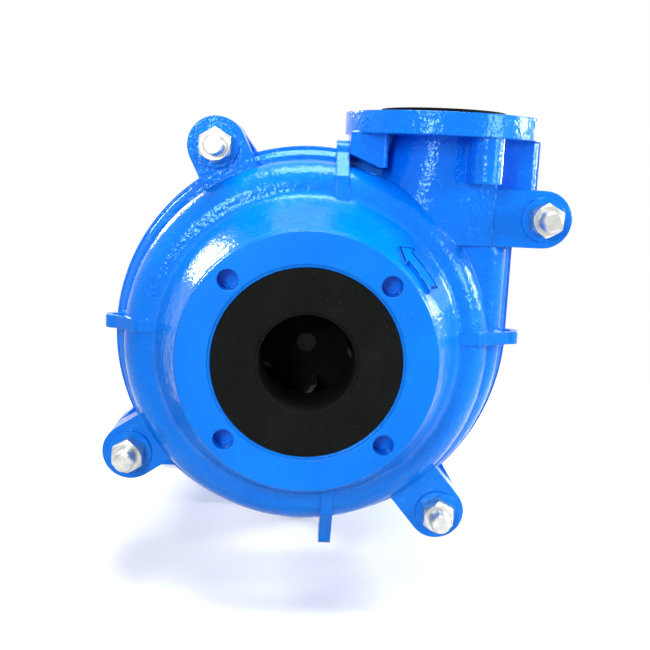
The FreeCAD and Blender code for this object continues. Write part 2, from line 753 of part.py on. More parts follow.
def cover_plate():
    depths = (s.ear_front, s.split_depth - s.ear_back_gap)
    body = casing_half("cover_plate_outside", -1, size(0))
    discharge_block(body)
    discharge_boss(body, "LongBoss", discharge_holes(-1)[1], -1, s.discharge_long_boss)
    casing_fittings(body, -1, depths, size(0))
    pads = [circle(s.ear_pad_radius, ear[0], ear[1]) for ear in ears()]
    slab(body, "EarPads", pads, s.ear_front - s.ear_pad_rise, s.ear_front + 1)
    edge = s.intake_flange_radius
    foot = s.intake_flange_thick + 3
    run = s.hub_root_radius - edge - 2
    rise = FACE_FRONT - foot
    slope = root(run * run + rise * rise)
    back_off = s.hub_root_round * (slope - run) / rise
    turn(body, "Hub", [
        (0, 0), (edge - 1, 0), (edge, 1), (edge, s.intake_flange_thick), (edge + 2, foot),
        (s.hub_root_radius - back_off * run / slope, FACE_FRONT - back_off * rise / slope, -s.hub_root_round),
        (s.hub_root_radius + back_off, FACE_FRONT), (s.hub_root_radius + back_off, FACE_FRONT + 2),
        (0, FACE_FRONT + 2)])
    casing_holes(body, -1, depths)
    bore = s.throat_radius + s.throat_wall
    room = s.split_depth - CAVITY_DEPTH
    face_seat = s.intake_face_radius + s.joint_gap * 2
    turn(body, "Bore", [
        (0, -1), (s.intake_recess_radius, -1), (s.intake_recess_radius, s.intake_recess_depth),
        (face_seat, s.intake_recess_depth), (face_seat, s.intake_face_thick + s.joint_gap),
        (bore, s.intake_face_thick + s.joint_gap), (bore, room - 38),
        (s.hub_root_radius - s.shell_wall, room + 0.01), (0, room + 0.01)], cut=True)
    lugs(body)
    corner = s.intake_bolt_radius * math.sqrt(0.5)
    holes = [circle(s.intake_hole_radius, corner * a, corner * b) for a in (-1, 1) for b in (-1, 1)]
    slab(body, "IntakeHoles", holes, size(-1), s.intake_hole_depth, cut=True)
    return cored("cover_plate", body, -1)


def frame_plate():
    depths = (s.split_depth + s.ear_back_gap, s.rear_ear_depth)
    body = casing_half("frame_plate_outside", 1, s.rim_step)
    for number, place in enumerate(discharge_holes(1), start=1):
        discharge_boss(body, "Boss%d" % number, place, 1, s.discharge_boss_height)
    casing_fittings(body, 1, depths, s.ear_flare)
    lip = s.box_flange_radius - 7
    seat = BOX_FRONT + s.box_flange_thick
    turn(body, "RearRing", [
        (lip, FACE_BACK - 4), (s.frame_ring_radius, FACE_BACK - 4), (s.frame_ring_radius, s.frame_back),
        (s.frame_ring_bore, s.frame_back), (s.frame_ring_bore, seat + s.joint_gap + 12),
        (lip, seat + s.joint_gap + 12)])
    casing_holes(body, 1, depths)
    turn(body, "BoxSeat", [
        (0, s.split_depth - 1), (s.box_flange_radius + s.joint_gap, s.split_depth - 1),
        (s.box_flange_radius + s.joint_gap, seat + s.joint_gap), (0, seat + s.joint_gap)], cut=True)
    turn(body, "BoxPassage", [
        (0, seat), (lip, seat), (lip, s.frame_back), (0, s.frame_back)], cut=True)
    corner = s.frame_stud_circle * math.sqrt(0.5)
    holes = [circle(s.frame_stud_radius + s.thread_clearance, corner * a, corner * b)
             for a in (-1, 1) for b in (-1, 1)]
    slab(body, "StudHoles", holes, s.frame_back - 24, s.frame_back + 1, cut=True)
    return cored("frame_plate", body, 1)


# ---------------------------------------------------------------- rubber liners


def liner_passage(body, sign):
    """The wet side of a liner: round room for the impeller, the volute and the discharge passage."""
    low, high = from_split(sign, -1, s.volute_passage_depth)
    slab(body, "Volute", [volute(WET_INSET)], low, high, cut=True)
    outer = s.dome_radius - WET_INSET
    start = s.split_depth - sign
    end = s.split_depth + WET_DEPTH * sign
    bend = s.dome_round / 2
    turn(body, "Room", [
        (0, start), (outer, start), (outer, end - bend * sign, bend * sign), (outer - bend, end), (0, end)],
        cut=True)
    column(body, "Passage", [circle(s.discharge_bore_radius, s.discharge_x, s.split_depth)],
           NECK_FOOT, LINER_TOP + 1, cut=True)


def cover_plate_liner():
    body = liner_form("cover_plate_liner", -1, s.joint_gap, size(0), LINER_TOP)
    bore = s.throat_radius + s.throat_wall - s.joint_gap
    room = s.split_depth - CAVITY_DEPTH + s.joint_gap
    seat = s.intake_face_thick
    wet_face = s.split_depth - WET_DEPTH
    turn(body, "Throat", [
        (0, s.joint_gap), (s.intake_face_radius, s.joint_gap), (s.intake_face_radius, seat),
        (bore, seat), (bore, room - 38), (s.hub_root_radius - s.shell_wall, room), (0, room)])
    liner_passage(body, -1)
    lip = s.throat_lip
    turn(body, "ThroatBore", [
        (0, 0), (s.throat_radius + lip, 0), (s.throat_radius + lip, s.joint_gap, lip),
        (s.throat_radius, s.joint_gap + lip), (s.throat_radius, s.eye_front - 4.5),
        (s.eye_radius + s.eye_wall + 2, s.eye_front - 3.5), (s.impeller_radius + 3, wet_face),
        (s.impeller_radius + 3, wet_face + 2), (0, wet_face + 2)], cut=True)
    return body


def frame_plate_liner():
    body = liner_form("frame_plate_liner", 1, s.joint_gap, size(0), LINER_TOP)
    liner_passage(body, 1)
    hole = s.box_flange_radius + s.joint_gap
    turn(body, "InsertHole", [
        (0, s.split_depth), (hole, s.split_depth), (hole, FACE_BACK), (0, FACE_BACK)], cut=True)
    return body


def frame_plate_insert():
    front = s.split_depth + WET_DEPTH
    hole = s.hub_radius + 2
    return turned_piece("frame_plate_liner_insert", [
        (hole + 2, front), (s.box_flange_radius - 2, front), (s.box_flange_radius, front + 2),
        (s.box_flange_radius, front + s.insert_thick), (hole, front + s.insert_thick), (hole, front + 2)])


# ---------------------------------------------------------------- impeller


def shroud_bodies():
    """The two shrouds of the impeller and the hub that screws onto the shaft."""
    rim = s.impeller_radius
    inner = s.split_depth + s.impeller_outlet / 2
    outer = inner + s.shroud_thick
    bore = s.shaft_thread_radius + s.thread_clearance
    nose = s.shaft_nose - s.joint_gap
    back = turned_piece("impeller_back", [
        (0, nose - 12), (bore * 0.5, nose - 11), (s.hub_radius, nose + 6), (rim * 0.5, inner - 1),
        (rim, inner), (rim, outer), (s.hub_radius, outer), (s.hub_radius, s.hub_back),
        (bore, s.hub_back), (bore, nose), (0, nose)])
    face = s.split_depth - s.impeller_outlet / 2
    eye = s.eye_radius
    front = turned_piece("impeller_front", [
        (eye, s.eye_front), (eye + s.eye_wall, s.eye_front), (eye + s.eye_wall, s.eye_front + 3),
        (rim, face - s.shroud_thick), (rim, face), (eye + s.eye_wall, s.eye_front + 20),
        (eye + 2, s.eye_front + 12)])
    return back, front


def polar_point(radius, degrees):
    angle = math.radians(degrees)
    return radius * math.cos(angle), radius * math.sin(angle)


def impeller_vanes():
    """Five backward-curved vanes, trimmed to the passage between the shrouds."""
    vanes = new_body("impeller_vanes")
    inlet = s.eye_radius - 5
    tip = s.impeller_radius + 4
    sweep = 68
    tip_spread = 6
    outline = [
        (*polar_point(inlet, 0), -s.impeller_radius * 0.8),
        polar_point(tip, -sweep),
        (*polar_point(tip, -sweep - tip_spread), s.impeller_radius * 0.72),
        polar_point(inlet, -9),
    ]
    vane = slab(vanes, "Vane", [outline], s.eye_front + 5, s.split_depth + s.impeller_outlet / 2 + 4)
    polar(vanes, "Vanes", [vane], 5)
    face = s.split_depth - s.impeller_outlet / 2
    inner = s.split_depth + s.impeller_outlet / 2
    eye = s.eye_radius
    passage = turned_piece("impeller_passage", [
        (eye - 6, s.eye_front + 14), (eye + 2, s.eye_front + 10), (eye + s.eye_wall, s.eye_front + 17),
        (s.impeller_radius, face - 3), (s.impeller_radius, inner + 3), (s.impeller_radius * 0.5, inner + 3),
        (eye - 12, inner - 1), (eye - 12, s.eye_front + 22)])
    trimmed = doc.addObject("Part::Common", "VanesTrimmed")
    trimmed.Base = vanes
    trimmed.Tool = passage
    return trimmed


def expellers():
    """Short radial vanes on the outer faces of both shrouds, which keep grit off the gland."""
    bars = new_body("expeller_bars")
    rim = s.impeller_radius
    width = s.expeller_rise
    outline = [(s.eye_radius + s.eye_wall + 8, -width), (rim - 2, -width), (rim - 2, width),
               (s.eye_radius + s.eye_wall + 8, width)]
    bar = slab(bars, "Bar", [outline], s.eye_front, s.split_depth + WET_DEPTH)
    polar(bars, "Bars", [bar], 10)
    face = s.split_depth - s.impeller_outlet / 2 - s.shroud_thick
    back = s.split_depth + s.impeller_outlet / 2 + s.shroud_thick
    rise = s.expeller_rise
    eye = s.eye_radius + s.eye_wall
    front_layer = turned_piece("expeller_front_layer", [
        (eye, s.eye_front + 3 - rise), (rim, face - rise), (rim, face + 1), (eye, s.eye_front + 4)])
    back_layer = turned_piece("expeller_back_layer", [
        (eye, back - 1), (rim, back - 1), (rim, back + rise), (eye, back + rise)])
    layers = doc.addObject("Part::MultiFuse", "ExpellerLayers")
    layers.Shapes = [front_layer, back_layer]
    trimmed = doc.addObject("Part::Common", "Expellers")
    trimmed.Base = bars
    trimmed.Tool = layers
    return trimmed


def impeller():
    back, front = shroud_bodies()
    whole = doc.addObject("Part::MultiFuse", "Impeller")
    whole.Shapes = [back, front, impeller_vanes(), expellers()]
    whole.Label = "impeller"
    return whole


# ---------------------------------------------------------------- shaft and gland


FRONT_BEARING = s.housing_front + s.bearing_inset
FRONT_SEAT_END = FRONT_BEARING + s.bearing_width
HOUSING_BACK = s.housing_front + s.housing_length
REAR_SEAT_END = HOUSING_BACK - s.bearing_inset
REAR_BEARING = REAR_SEAT_END - s.bearing_width
LABYRINTH_FRONT = s.housing_front - s.end_cover_thick - 16
LABYRINTH_BACK = HOUSING_BACK + s.end_cover_thick + 12
CRADLE_BACK = HOUSING_BACK - s.cradle_inset
DRIVE_START = LABYRINTH_BACK + s.locknut_room
SHAFT_END = DRIVE_START + s.drive_length
SEAL_START = LABYRINTH_FRONT - 14


def shaft():
    body = turned_piece("shaft", [
        (0, s.shaft_nose), (s.shaft_thread_radius - 1, s.shaft_nose),
        (s.shaft_thread_radius, s.shaft_nose + 1), (s.shaft_thread_radius, s.hub_back),
        (s.sleeve_seat_radius, s.hub_back), (s.sleeve_seat_radius, SEAL_START),
        (s.shaft_seal_radius, SEAL_START), (s.shaft_seal_radius, FRONT_BEARING),
        (s.bearing_bore, FRONT_BEARING), (s.bearing_bore, FRONT_SEAT_END),
        (s.shaft_middle_radius, FRONT_SEAT_END), (s.shaft_middle_radius, REAR_BEARING),
        (s.bearing_bore, REAR_BEARING), (s.bearing_bore, REAR_SEAT_END),
        (s.shaft_seal_radius, REAR_SEAT_END), (s.shaft_seal_radius, DRIVE_START),
        (s.drive_radius, DRIVE_START), (s.drive_radius, SHAFT_END - 2),
        (s.drive_radius - 2, SHAFT_END), (0, SHAFT_END)])
    bottom = s.drive_radius - s.key_height * 0.6
    column(body, "Keyway", [key_outline(s.key_width / 2)], bottom, s.drive_radius + 1, cut=True)
    return body


def key_outline(half):
    """The round-ended outline of the drive key, seen from above."""
    back = SHAFT_END - 10
    front = back - s.key_length
    return [(-half, front + half, half), (0, front, half), (half, front + half),
            (half, back - half, half), (0, back, half), (-half, back - half)]


def shaft_key():
    body = new_body("shaft_key")
    bottom = s.drive_radius - s.key_height * 0.6 + s.running_clearance
    half = s.key_width / 2 - s.running_clearance
    column(body, "Key", [key_outline(half)], bottom, bottom + s.key_height)
    return body


def shaft_sleeve():
    bore = s.sleeve_seat_radius + s.running_clearance
    front = s.hub_back + s.joint_gap
    return turned_piece("shaft_sleeve", [
        (bore, front), (s.sleeve_radius - 1, front), (s.sleeve_radius, front + 1),
        (s.sleeve_radius, s.sleeve_back - 2), (s.sleeve_radius - 2, s.sleeve_back), (bore, s.sleeve_back)])


def shaft_spacer():
    """The ring between the shaft sleeve and the shoulder under the front labyrinth."""
    bore = s.sleeve_seat_radius + s.running_clearance
    front = s.sleeve_back + s.joint_gap
    back = SEAL_START - s.joint_gap
    return turned_piece("shaft_spacer", [
        (bore, front), (s.shaft_seal_radius + 1, front), (s.shaft_seal_radius + 1, back), (bore, back)])


def stuffing_box():
    front = BOX_FRONT
    back = s.box_back
    throat = s.sleeve_radius + 2
    body = turned_piece("stuffing_box", [
        (s.hub_radius + 2, front), (s.box_flange_radius, front),
        (s.box_flange_radius, front + s.box_flange_thick), (s.box_radius + 8, front + s.box_flange_thick),
        (s.box_radius, front + s.box_flange_thick + 8), (s.box_radius, back - 2), (s.box_radius - 2, back),
        (s.box_bore_radius + 2, back), (s.box_bore_radius, back - 4),
        (s.box_bore_radius, s.packing_start - s.joint_gap), (throat, s.packing_start - s.joint_gap),
        (throat, s.hub_back + 6), (s.hub_radius + 2, s.hub_back + 6)])
    tip = s.gland_bolt_radius + 8
    outline = [
        (-s.gland_bolt_reach, -tip), (s.gland_bolt_reach, -tip, tip), (s.gland_bolt_reach + tip, 0, tip),
        (s.gland_bolt_reach, tip), (-s.gland_bolt_reach, tip, tip), (-s.gland_bolt_reach - tip, 0, tip)]
    bore = circle(s.box_bore_radius + 2)
    slab(body, "BoltEars", [outline, bore], back - 22, back - 2)
    holes = [circle(s.gland_bolt_radius + 0.5, s.gland_bolt_reach * side) for side in (-1, 1)]
    slab(body, "BoltHoles", holes, back - 30, back + 1, cut=True)
    column(body, "WaterBoss", [(0, WATER_DEPTH, s.water_hole_radius + 9)], s.box_radius - 8, s.box_radius + 8)
    column(body, "WaterHole", [(0, WATER_DEPTH, s.water_hole_radius)], s.box_bore_radius - 1,
           s.box_radius + 9, cut=True)
    return body


def lantern_ring():
    front = LANTERN_FRONT
    back = front + s.lantern_length - s.joint_gap
    outer = s.box_bore_radius - s.joint_gap
    inner = s.sleeve_radius + s.joint_gap
    body = turned_piece("lantern_ring", [
        (inner, front), (outer, front), (outer, front + 4), (outer - 3, front + 5), (outer - 3, back - 5),
        (outer, back - 4), (outer, back), (inner, back), (inner, back - 4), (inner + 3, back - 5),
        (inner + 3, front + 5), (inner, front + 4)])
    middle = (front + back) / 2
    hole = column(body, "WaterHole", [(0, middle, 2.5)], inner - 1, outer + 1, cut=True)
    polar(body, "WaterHoles", [hole], 4)
    return body


def packing_rings():
    """Square rings, three in front of the lantern ring and one behind it."""
    body = new_body("packing_rings")
    inner = s.sleeve_radius + s.running_clearance
    outer = s.box_bore_radius - s.running_clearance
    for number in range(PACKING_RINGS):
        front = s.packing_start + s.packing_size * number
        if number >= FRONT_RINGS:
            front = front + s.lantern_length
        back = front + s.packing_size - 0.1
        turn(body, "Ring%d" % number, [(inner, front), (outer, front), (outer, back), (inner, back)])
    return body


GLAND_NOSE = s.packing_start + s.lantern_length + s.packing_size * PACKING_RINGS + s.joint_gap
GLAND_FRONT = s.box_back + 10
GLAND_BACK = GLAND_FRONT + s.gland_flange_thick


def gland_halves():
    """The gland, in two halves that part at the upright plane through the shaft."""
    body = new_body("gland_halves")
    inner = s.sleeve_radius + 1.5
    reach = s.gland_bolt_reach
    tip = s.gland_bolt_radius + 9
    waist = s.box_radius - 8
    outline = [
        (reach, -tip, tip), (reach + tip, 0, tip), (reach, tip), (waist * 0.6, waist * 0.8, waist),
        (-waist * 0.6, waist * 0.8), (-reach, tip, tip), (-reach - tip, 0, tip), (-reach, -tip),
        (-waist * 0.6, -waist * 0.8, waist), (waist * 0.6, -waist * 0.8)]
    slab(body, "Flange", [outline], GLAND_FRONT, GLAND_BACK)
    outer = s.box_bore_radius - s.joint_gap
    turn(body, "Nose", [(0, GLAND_NOSE), (outer, GLAND_NOSE), (outer, GLAND_FRONT + 1), (0, GLAND_FRONT + 1)])
    slab(body, "Bore", [circle(inner)], GLAND_NOSE - 1, GLAND_BACK + 1, cut=True)
    holes = [circle(s.gland_bolt_radius + 0.5, reach * side) for side in (-1, 1)]
    slab(body, "BoltHoles", holes, GLAND_FRONT - 1, GLAND_BACK + 1, cut=True)
    middle = (GLAND_FRONT + GLAND_BACK) / 2
    height = (inner + waist) / 2 + 4
    for side in (-1, 1):
        fin(body, "ClampHole%d" % side, [(middle, height * side, 4 + s.thread_clearance)], -waist, waist, cut=True)
        low, high = (height - 9, waist + 2) if side > 0 else (-waist - 2, -height + 9)
        for hand in (-1, 1):
            ends = (16 * hand, 60 * hand)
            column(body, "ClampSeat%d%d" % (side, hand),
                   [[(min(ends), GLAND_FRONT - 1), (max(ends), GLAND_FRONT - 1),
                     (max(ends), GLAND_BACK + 1), (min(ends), GLAND_BACK + 1)]], low, high, cut=True)
    half = s.joint_gap / 2
    slab(body, "Parting", [[(-half, -waist * 2), (half, -waist * 2), (half, waist * 2), (-half, waist * 2)]],
         GLAND_NOSE - 1, GLAND_BACK + 1, cut=True)
    return body


def gland_clamp_bolts():
    """Two small bolts that hold the gland halves together."""
    body = new_body("gland_clamp_bolts")
    middle = (GLAND_FRONT + GLAND_BACK) / 2
    height = (s.sleeve_radius + 1.5 + s.box_radius - 8) / 2 + 4
    for side in (-1, 1):
        centre = (middle, height * side)
        fin(body, "Shank%d" % side, [(*centre, 4)], size(-25), size(22))
        fin(body, "Head%d" % side, [hexagon(13, *centre)], size(16.3), size(22))
        fin(body, "Nut%d" % side, [hexagon(13, *centre)], size(-23), size(-16.3))
    return body


GLAND_BOLT_END = GLAND_BACK + s.gland_back_travel + s.gland_nut_height + 16


def gland_bolts():
    body = new_body("gland_bolts")
    seat = s.box_back - 22 - s.joint_gap
    for side in (-1, 1):
        across = s.gland_bolt_reach * side
        slab(body, "Head%d" % side, [hexagon(s.gland_nut_flats, across)], seat - 8, seat)
        slab(body, "Shank%d" % side, [circle(s.gland_bolt_radius, across)], seat - 1, GLAND_BOLT_END)
    return body


def gland_nuts():
    body = new_body("gland_nuts")
    seat = GLAND_BACK + s.joint_gap
    for side in (-1, 1):
        across = s.gland_bolt_reach * side
        bore = circle(s.gland_bolt_radius + s.thread_clearance, across)
        slab(body, "Nut%d" % side, [hexagon(s.gland_nut_flats, across), bore], seat, seat + s.gland_nut_height)
    return body


# ---------------------------------------------------------------- bearing assembly


def bearing_housing():
    front = s.housing_front
    back = HOUSING_BACK
    seat = s.bearing_radius + s.running_clearance
    land = s.bearing_inset + s.bearing_width + 10
    waist = s.housing_radius - 6
    body = turned_piece("bearing_housing", [
        (seat, front), (s.housing_radius, front), (s.housing_radius, front + land),
        (waist, front + land + 6), (waist, back - land - 6), (s.housing_radius, back - land),
        (s.housing_radius, back), (seat, back), (seat, back - land), (waist - 12, back - land - 8),
        (waist - 12, front + land + 8), (seat, front + land)])
    rail_low = s.rail_top - s.rail_thick
    for side in (-1, 1):
        ends = sorted((s.rail_reach * side, (waist - 6) * side), key=lambda end: end.value)
        column(body, "Rail%d" % side, [[
            (ends[0], front + 18), (ends[1], front + 18), (ends[1], CRADLE_BACK - 14),
            (ends[0], CRADLE_BACK - 14)]], rail_low, s.rail_top)
    lug_low = -s.adjust_drop - 20
    slab(body, "AdjustLug", [[(-20, lug_low), (20, lug_low), (20, -waist), (-20, -waist)]],
         back - 16, back)
    slab(body, "AdjustHole", [circle(s.adjust_radius + 0.5, 0, -s.adjust_drop)], back - 17, back + 1, cut=True)
    holes = [circle(4 + s.thread_clearance, *point) for point in cover_screw_points()]
    slab(body, "FrontScrewHoles", holes, front - 1, front + 16, cut=True)
    slab(body, "RearScrewHoles", holes, back - 16, back + 1, cut=True)
    for number, place in enumerate((front + land - 6, back - land + 6), start=1):
        column(body, "GreaseBoss%d" % number, [(0, place, 9)], s.housing_radius - 12, s.housing_radius + 3)
        column(body, "GreaseHole%d" % number, [(0, place, 3)], s.bearing_radius - 1, s.housing_radius + 4, cut=True)
    return body


SCREW_COUNT = 6


def cover_screw_points():
    circle_radius = (s.bearing_radius + s.housing_radius) / 2
    return [polar_point(circle_radius, 30 + 360 / SCREW_COUNT * step) for step in range(SCREW_COUNT)]


def grease_nipples():
    body = new_body("grease_nipples")
    land = s.bearing_inset + s.bearing_width + 10
    low = s.housing_radius - 2
    top = s.housing_radius + 3 + s.joint_gap
    for number, place in enumerate((s.housing_front + land - 6, HOUSING_BACK - land + 6), start=1):
        column(body, "Stem%d" % number, [(0, place, 3 - s.thread_clearance)], low, top + 12)
        column(body, "Hex%d" % number, [hexagon(10, 0, place)], top, top + 5)
    return body


def end_cover(name, sign):
    """A bearing end cover; the sign points away from the housing along the shaft."""
    face = s.housing_front - s.joint_gap if sign < 0 else HOUSING_BACK + s.joint_gap
    spigot = s.bearing_radius - s.joint_gap
    bore = s.labyrinth_radius + s.joint_gap
    inward = (s.bearing_inset - s.joint_gap * 2) * -sign
    outward = s.end_cover_thick * sign
    body = turned_piece(name, [
        (bore, face + inward), (spigot, face + inward), (spigot, face), (s.housing_radius - 2, face),
        (s.housing_radius - 2, face + outward * 0.8), (s.housing_radius - 5, face + outward),
        (bore, face + outward)])
    ends = sorted((face, face + outward), key=lambda end: end.value)
    holes = [circle(4.5, *point) for point in cover_screw_points()]
    slab(body, "ScrewHoles", holes, ends[0] - 1, ends[1] + 1, cut=True)
    return body


def end_cover_screws():
    body = new_body("end_cover_screws")
    cover_front = s.housing_front - s.joint_gap - s.end_cover_thick
    cover_back = HOUSING_BACK + s.joint_gap + s.end_cover_thick
    for number, point in enumerate(cover_screw_points()):
        slab(body, "FrontShank%d" % number, [circle(4, *point)], cover_front - 1, s.housing_front + 14)
        slab(body, "FrontHead%d" % number, [hexagon(13, *point)], cover_front - 5.6, cover_front - s.joint_gap)
        slab(body, "RearShank%d" % number, [circle(4, *point)], HOUSING_BACK - 14, cover_back + 1)
        slab(body, "RearHead%d" % number, [hexagon(13, *point)], cover_back + s.joint_gap, cover_back + 5.6)
    return body


def labyrinth(name, sign):
    """A labyrinth ring that turns with the shaft inside an end cover."""
    bearing = FRONT_BEARING - s.joint_gap if sign < 0 else REAR_SEAT_END + s.joint_gap
    end = SEAL_START + s.joint_gap if sign < 0 else LABYRINTH_BACK
    lip = LABYRINTH_FRONT if sign < 0 else LABYRINTH_BACK
    cover = s.housing_front + 6 if sign < 0 else HOUSING_BACK - 6
    bore = s.shaft_seal_radius + s.running_clearance
    body = s.labyrinth_radius
    corners = [(bore, bearing), (bore + 5, bearing), (bore + 5, cover), (body, cover)]
    groove = 0
    for groove in range(3):
        place = cover + (4 + 4 * groove) * sign
        corners += [(body, place), (body - 2, place), (body - 2, place + 1.5 * sign), (body, place + 1.5 * sign)]
    outside = lip - 8 * sign
    corners += [(body, outside), (body + 7, outside), (body + 7, lip), (bore + 6, lip)]
    if sign < 0:
        corners += [(bore + 2, end)]
    corners += [(bore, end)]
    return turned_piece(name, corners)


def labyrinth_locknut():
    front = LABYRINTH_BACK + s.joint_gap
    back = DRIVE_START - 2
    bore = s.shaft_seal_radius + s.thread_clearance
    outer = s.labyrinth_radius - 3
    body = turned_piece("labyrinth_locknut", [
        (bore, front), (outer - 1, front), (outer, front + 1), (outer, back - 1), (outer - 1, back), (bore, back)])
    slot = slab(body, "Slot", [[(outer - 4, -3), (outer + 1, -3), (outer + 1, 3), (outer - 4, 3)]],
                front - 1, back + 1, cut=True)
    polar(body, "Slots", [slot], 4)
    return body


def bearing_ends(sign):
    if sign < 0:
        return FRONT_BEARING, FRONT_SEAT_END
    return REAR_BEARING, REAR_SEAT_END


def bearing_cup(name, sign):
    front, back = bearing_ends(sign)
    race = s.roller_circle + s.roller_radius + s.roller_gap
    return turned_piece(name, [
        (race, front), (s.bearing_radius, front), (s.bearing_radius, back), (race, back)])


def bearing_cone(name, sign):
    """The inner race, with a rib at each end that keeps the rollers in line."""
    front, back = bearing_ends(sign)
    bore = s.bearing_bore + s.running_clearance
    race = s.roller_circle - s.roller_radius - s.roller_gap
    near = front + s.joint_gap
    far = back - s.joint_gap
    rib = s.bearing_rib
    return turned_piece(name, [
        (bore, near), (race + 2, near), (race + 2, near + rib), (race, near + rib),
        (race, far - rib), (race + 2, far - rib), (race + 2, far), (bore, far)])


ROLLERS = 14


def bearing_rollers(name, sign):
    front, back = bearing_ends(sign)
    body = new_body(name)
    margin = s.bearing_rib + s.joint_gap * 2
    start, end = front + margin, back - margin
    half = s.roller_radius
    roller = turn(body, "Roller", [
        (0, start), (half - 0.8, start), (half, start + 0.8), (half, end - 0.8), (half - 0.8, end), (0, end)],
        across=s.roller_circle)
    polar(body, "Rollers", [roller], ROLLERS)
    return body


def bearing_cage(name, sign):
    """Two rings and the bars between them, which space the rollers."""
    front, back = bearing_ends(sign)
    body = new_body(name)
    inner, outer = s.roller_circle - 3, s.roller_circle + 3
    width = s.bearing_rib
    for number, start in enumerate((front + s.joint_gap, back - s.joint_gap - width)):
        turn(body, "Ring%d" % number, [
            (inner, start), (outer, start), (outer, start + width), (inner, start + width)])
    point = polar_point(s.roller_circle, 180 / ROLLERS)
    bar = slab(body, "Bar", [circle(2, *point)], front + 2, back - 2)
    polar(body, "Bars", [bar], ROLLERS)
    return body


# ---------------------------------------------------------------- base


SADDLE_TOP = s.rail_top - s.rail_thick - s.joint_gap
CLAMP_ACROSS = s.rail_reach + 12
CLAMP_DEPTHS = (s.cradle_front + 52, CRADLE_BACK - 40)
REAR_FOOT = s.front_foot + s.foot_spacing_y


def box_outline(left, low, right, high):
    return [(left, low), (right, low), (right, high), (left, high)]


TROUGH_SLANT = 0.62


def trough_section(half, shoulder, drop, top):
    """A trough with upright sides and slanted shoulders, of the base's wall."""
    wall = s.base_wall
    flat = half - (drop - shoulder) * TROUGH_SLANT
    bevel = wall * (math.sqrt(1 + TROUGH_SLANT ** 2) - 1) / TROUGH_SLANT
    inner_flat = flat - wall * (math.sqrt(1 + TROUGH_SLANT ** 2) - TROUGH_SLANT)
    right_side = [
        (flat, -drop), (half, -shoulder), (half, top), (half - wall, top),
        (half - wall, -shoulder + bevel), (inner_flat, -drop + wall)]
    return right_side + [(-across, height) for across, height in reversed(right_side)]


def base():
    body = new_body("base")
    ring_front = s.frame_back + s.joint_gap
    ring_back = ring_front + s.base_ring_thick
    wall = s.base_wall
    half = s.cradle_half_width
    turn(body, "Ring", [
        (s.frame_ring_bore, ring_front), (s.frame_ring_radius, ring_front),
        (s.frame_ring_radius, ring_back), (s.frame_ring_bore, ring_back)])
    drop = s.cradle_drop
    wide_end = trough_section(s.trough_half_width, s.trough_shoulder, s.trough_drop, s.trough_top)
    narrow_end = trough_section(half, s.cradle_shoulder, drop, s.rail_top)
    blend(body, "Trough", wide_end, ring_back - 1, narrow_end, s.cradle_front + 1)
    rail = s.rail_reach + s.joint_gap
    room = s.housing_radius + s.cradle_room
    shoulder = s.cradle_shoulder - 8
    right_side = [
        (half, -s.cradle_shoulder), (half, s.rail_top), (rail, s.rail_top), (rail, SADDLE_TOP),
        (room, SADDLE_TOP), (room, -shoulder), (room * 0.6, -room)]
    left_side = [(-across, height) for across, height in reversed(right_side)]
    flat = half - (drop - s.cradle_shoulder) * TROUGH_SLANT
    slab(body, "Cradle", [[(flat, -drop)] + right_side + left_side + [(-flat, -drop)]],
         s.cradle_front, CRADLE_BACK)
    foot_top = s.base_floor + s.foot_thick
    wide = s.base_half_width
    feet = []
    for place in (s.front_foot, REAR_FOOT):
        feet.append(box_outline(-wide, place - s.foot_length / 2, wide, place + s.foot_length / 2))
    column(body, "Feet", feet, s.base_floor, foot_top)
    leg = [(-wide + 16, foot_top - 1), (wide - 16, foot_top - 1), (flat, -drop + 1), (-flat, -drop + 1)]
    for number, place in enumerate((s.front_foot, REAR_FOOT - 12), start=1):
        slab(body, "Leg%d" % number, [leg], place - wall / 2, place + wall / 2)
    sole = s.sole_half_width
    for name, side in (("Left", -1), ("Right", 1)):
        ends = sorted((size(sole * side), size((sole - wall) * side)), key=lambda end: end.value)
        fin(body, name + "Web", [[
            (s.sole_front - 6, -s.trough_drop + wall), (s.sole_front, foot_top - 1),
            (REAR_FOOT, foot_top - 1), (CRADLE_BACK, -drop + 6), (s.cradle_front, -drop + 6)]], *ends)
    column(body, "Sole", [box_outline(-sole, s.sole_front, sole, s.front_foot)], s.base_floor, foot_top)
    hole = s.foot_spacing_x / 2
    holes = [(hole * side, place, s.foot_hole_radius) for side in (-1, 1) for place in (s.front_foot, REAR_FOOT)]
    column(body, "FootHoles", holes, s.base_floor - 1, foot_top + 1, cut=True)
    corner = s.frame_stud_circle * math.sqrt(0.5)
    studs = [circle(s.frame_stud_radius + s.bolt_clearance, corner * a, corner * b)
             for a in (-1, 1) for b in (-1, 1)]
    slab(body, "StudHoles", studs, ring_front - 1, ring_back + 1, cut=True)
    clamps = [(CLAMP_ACROSS * side, place, s.frame_stud_radius + s.thread_clearance)
              for side in (-1, 1) for place in CLAMP_DEPTHS]
    column(body, "ClampHoles", clamps, s.rail_top - 34, s.rail_top + 1, cut=True)
    screw = circle(s.adjust_radius + s.thread_clearance, 0, -s.adjust_drop)
    slab(body, "AdjustBoss", [circle(20, 0, -s.adjust_drop)], CRADLE_BACK - 30, CRADLE_BACK)
    slab(body, "AdjustHole", [screw], CRADLE_BACK - 24, CRADLE_BACK + 1, cut=True)
    return body


def stud_places():
    corner = s.frame_stud_circle * math.sqrt(0.5)
    return [(corner * a, corner * b) for a in (-1, 1) for b in (-1, 1)]


def frame_studs():
    body = new_body("frame_studs")
    end = s.frame_back + s.base_ring_thick + s.frame_nut_height + 8
    slab(body, "Studs", [circle(s.frame_stud_radius, *place) for place in stud_places()],
         s.frame_back - 23, end)
    return body


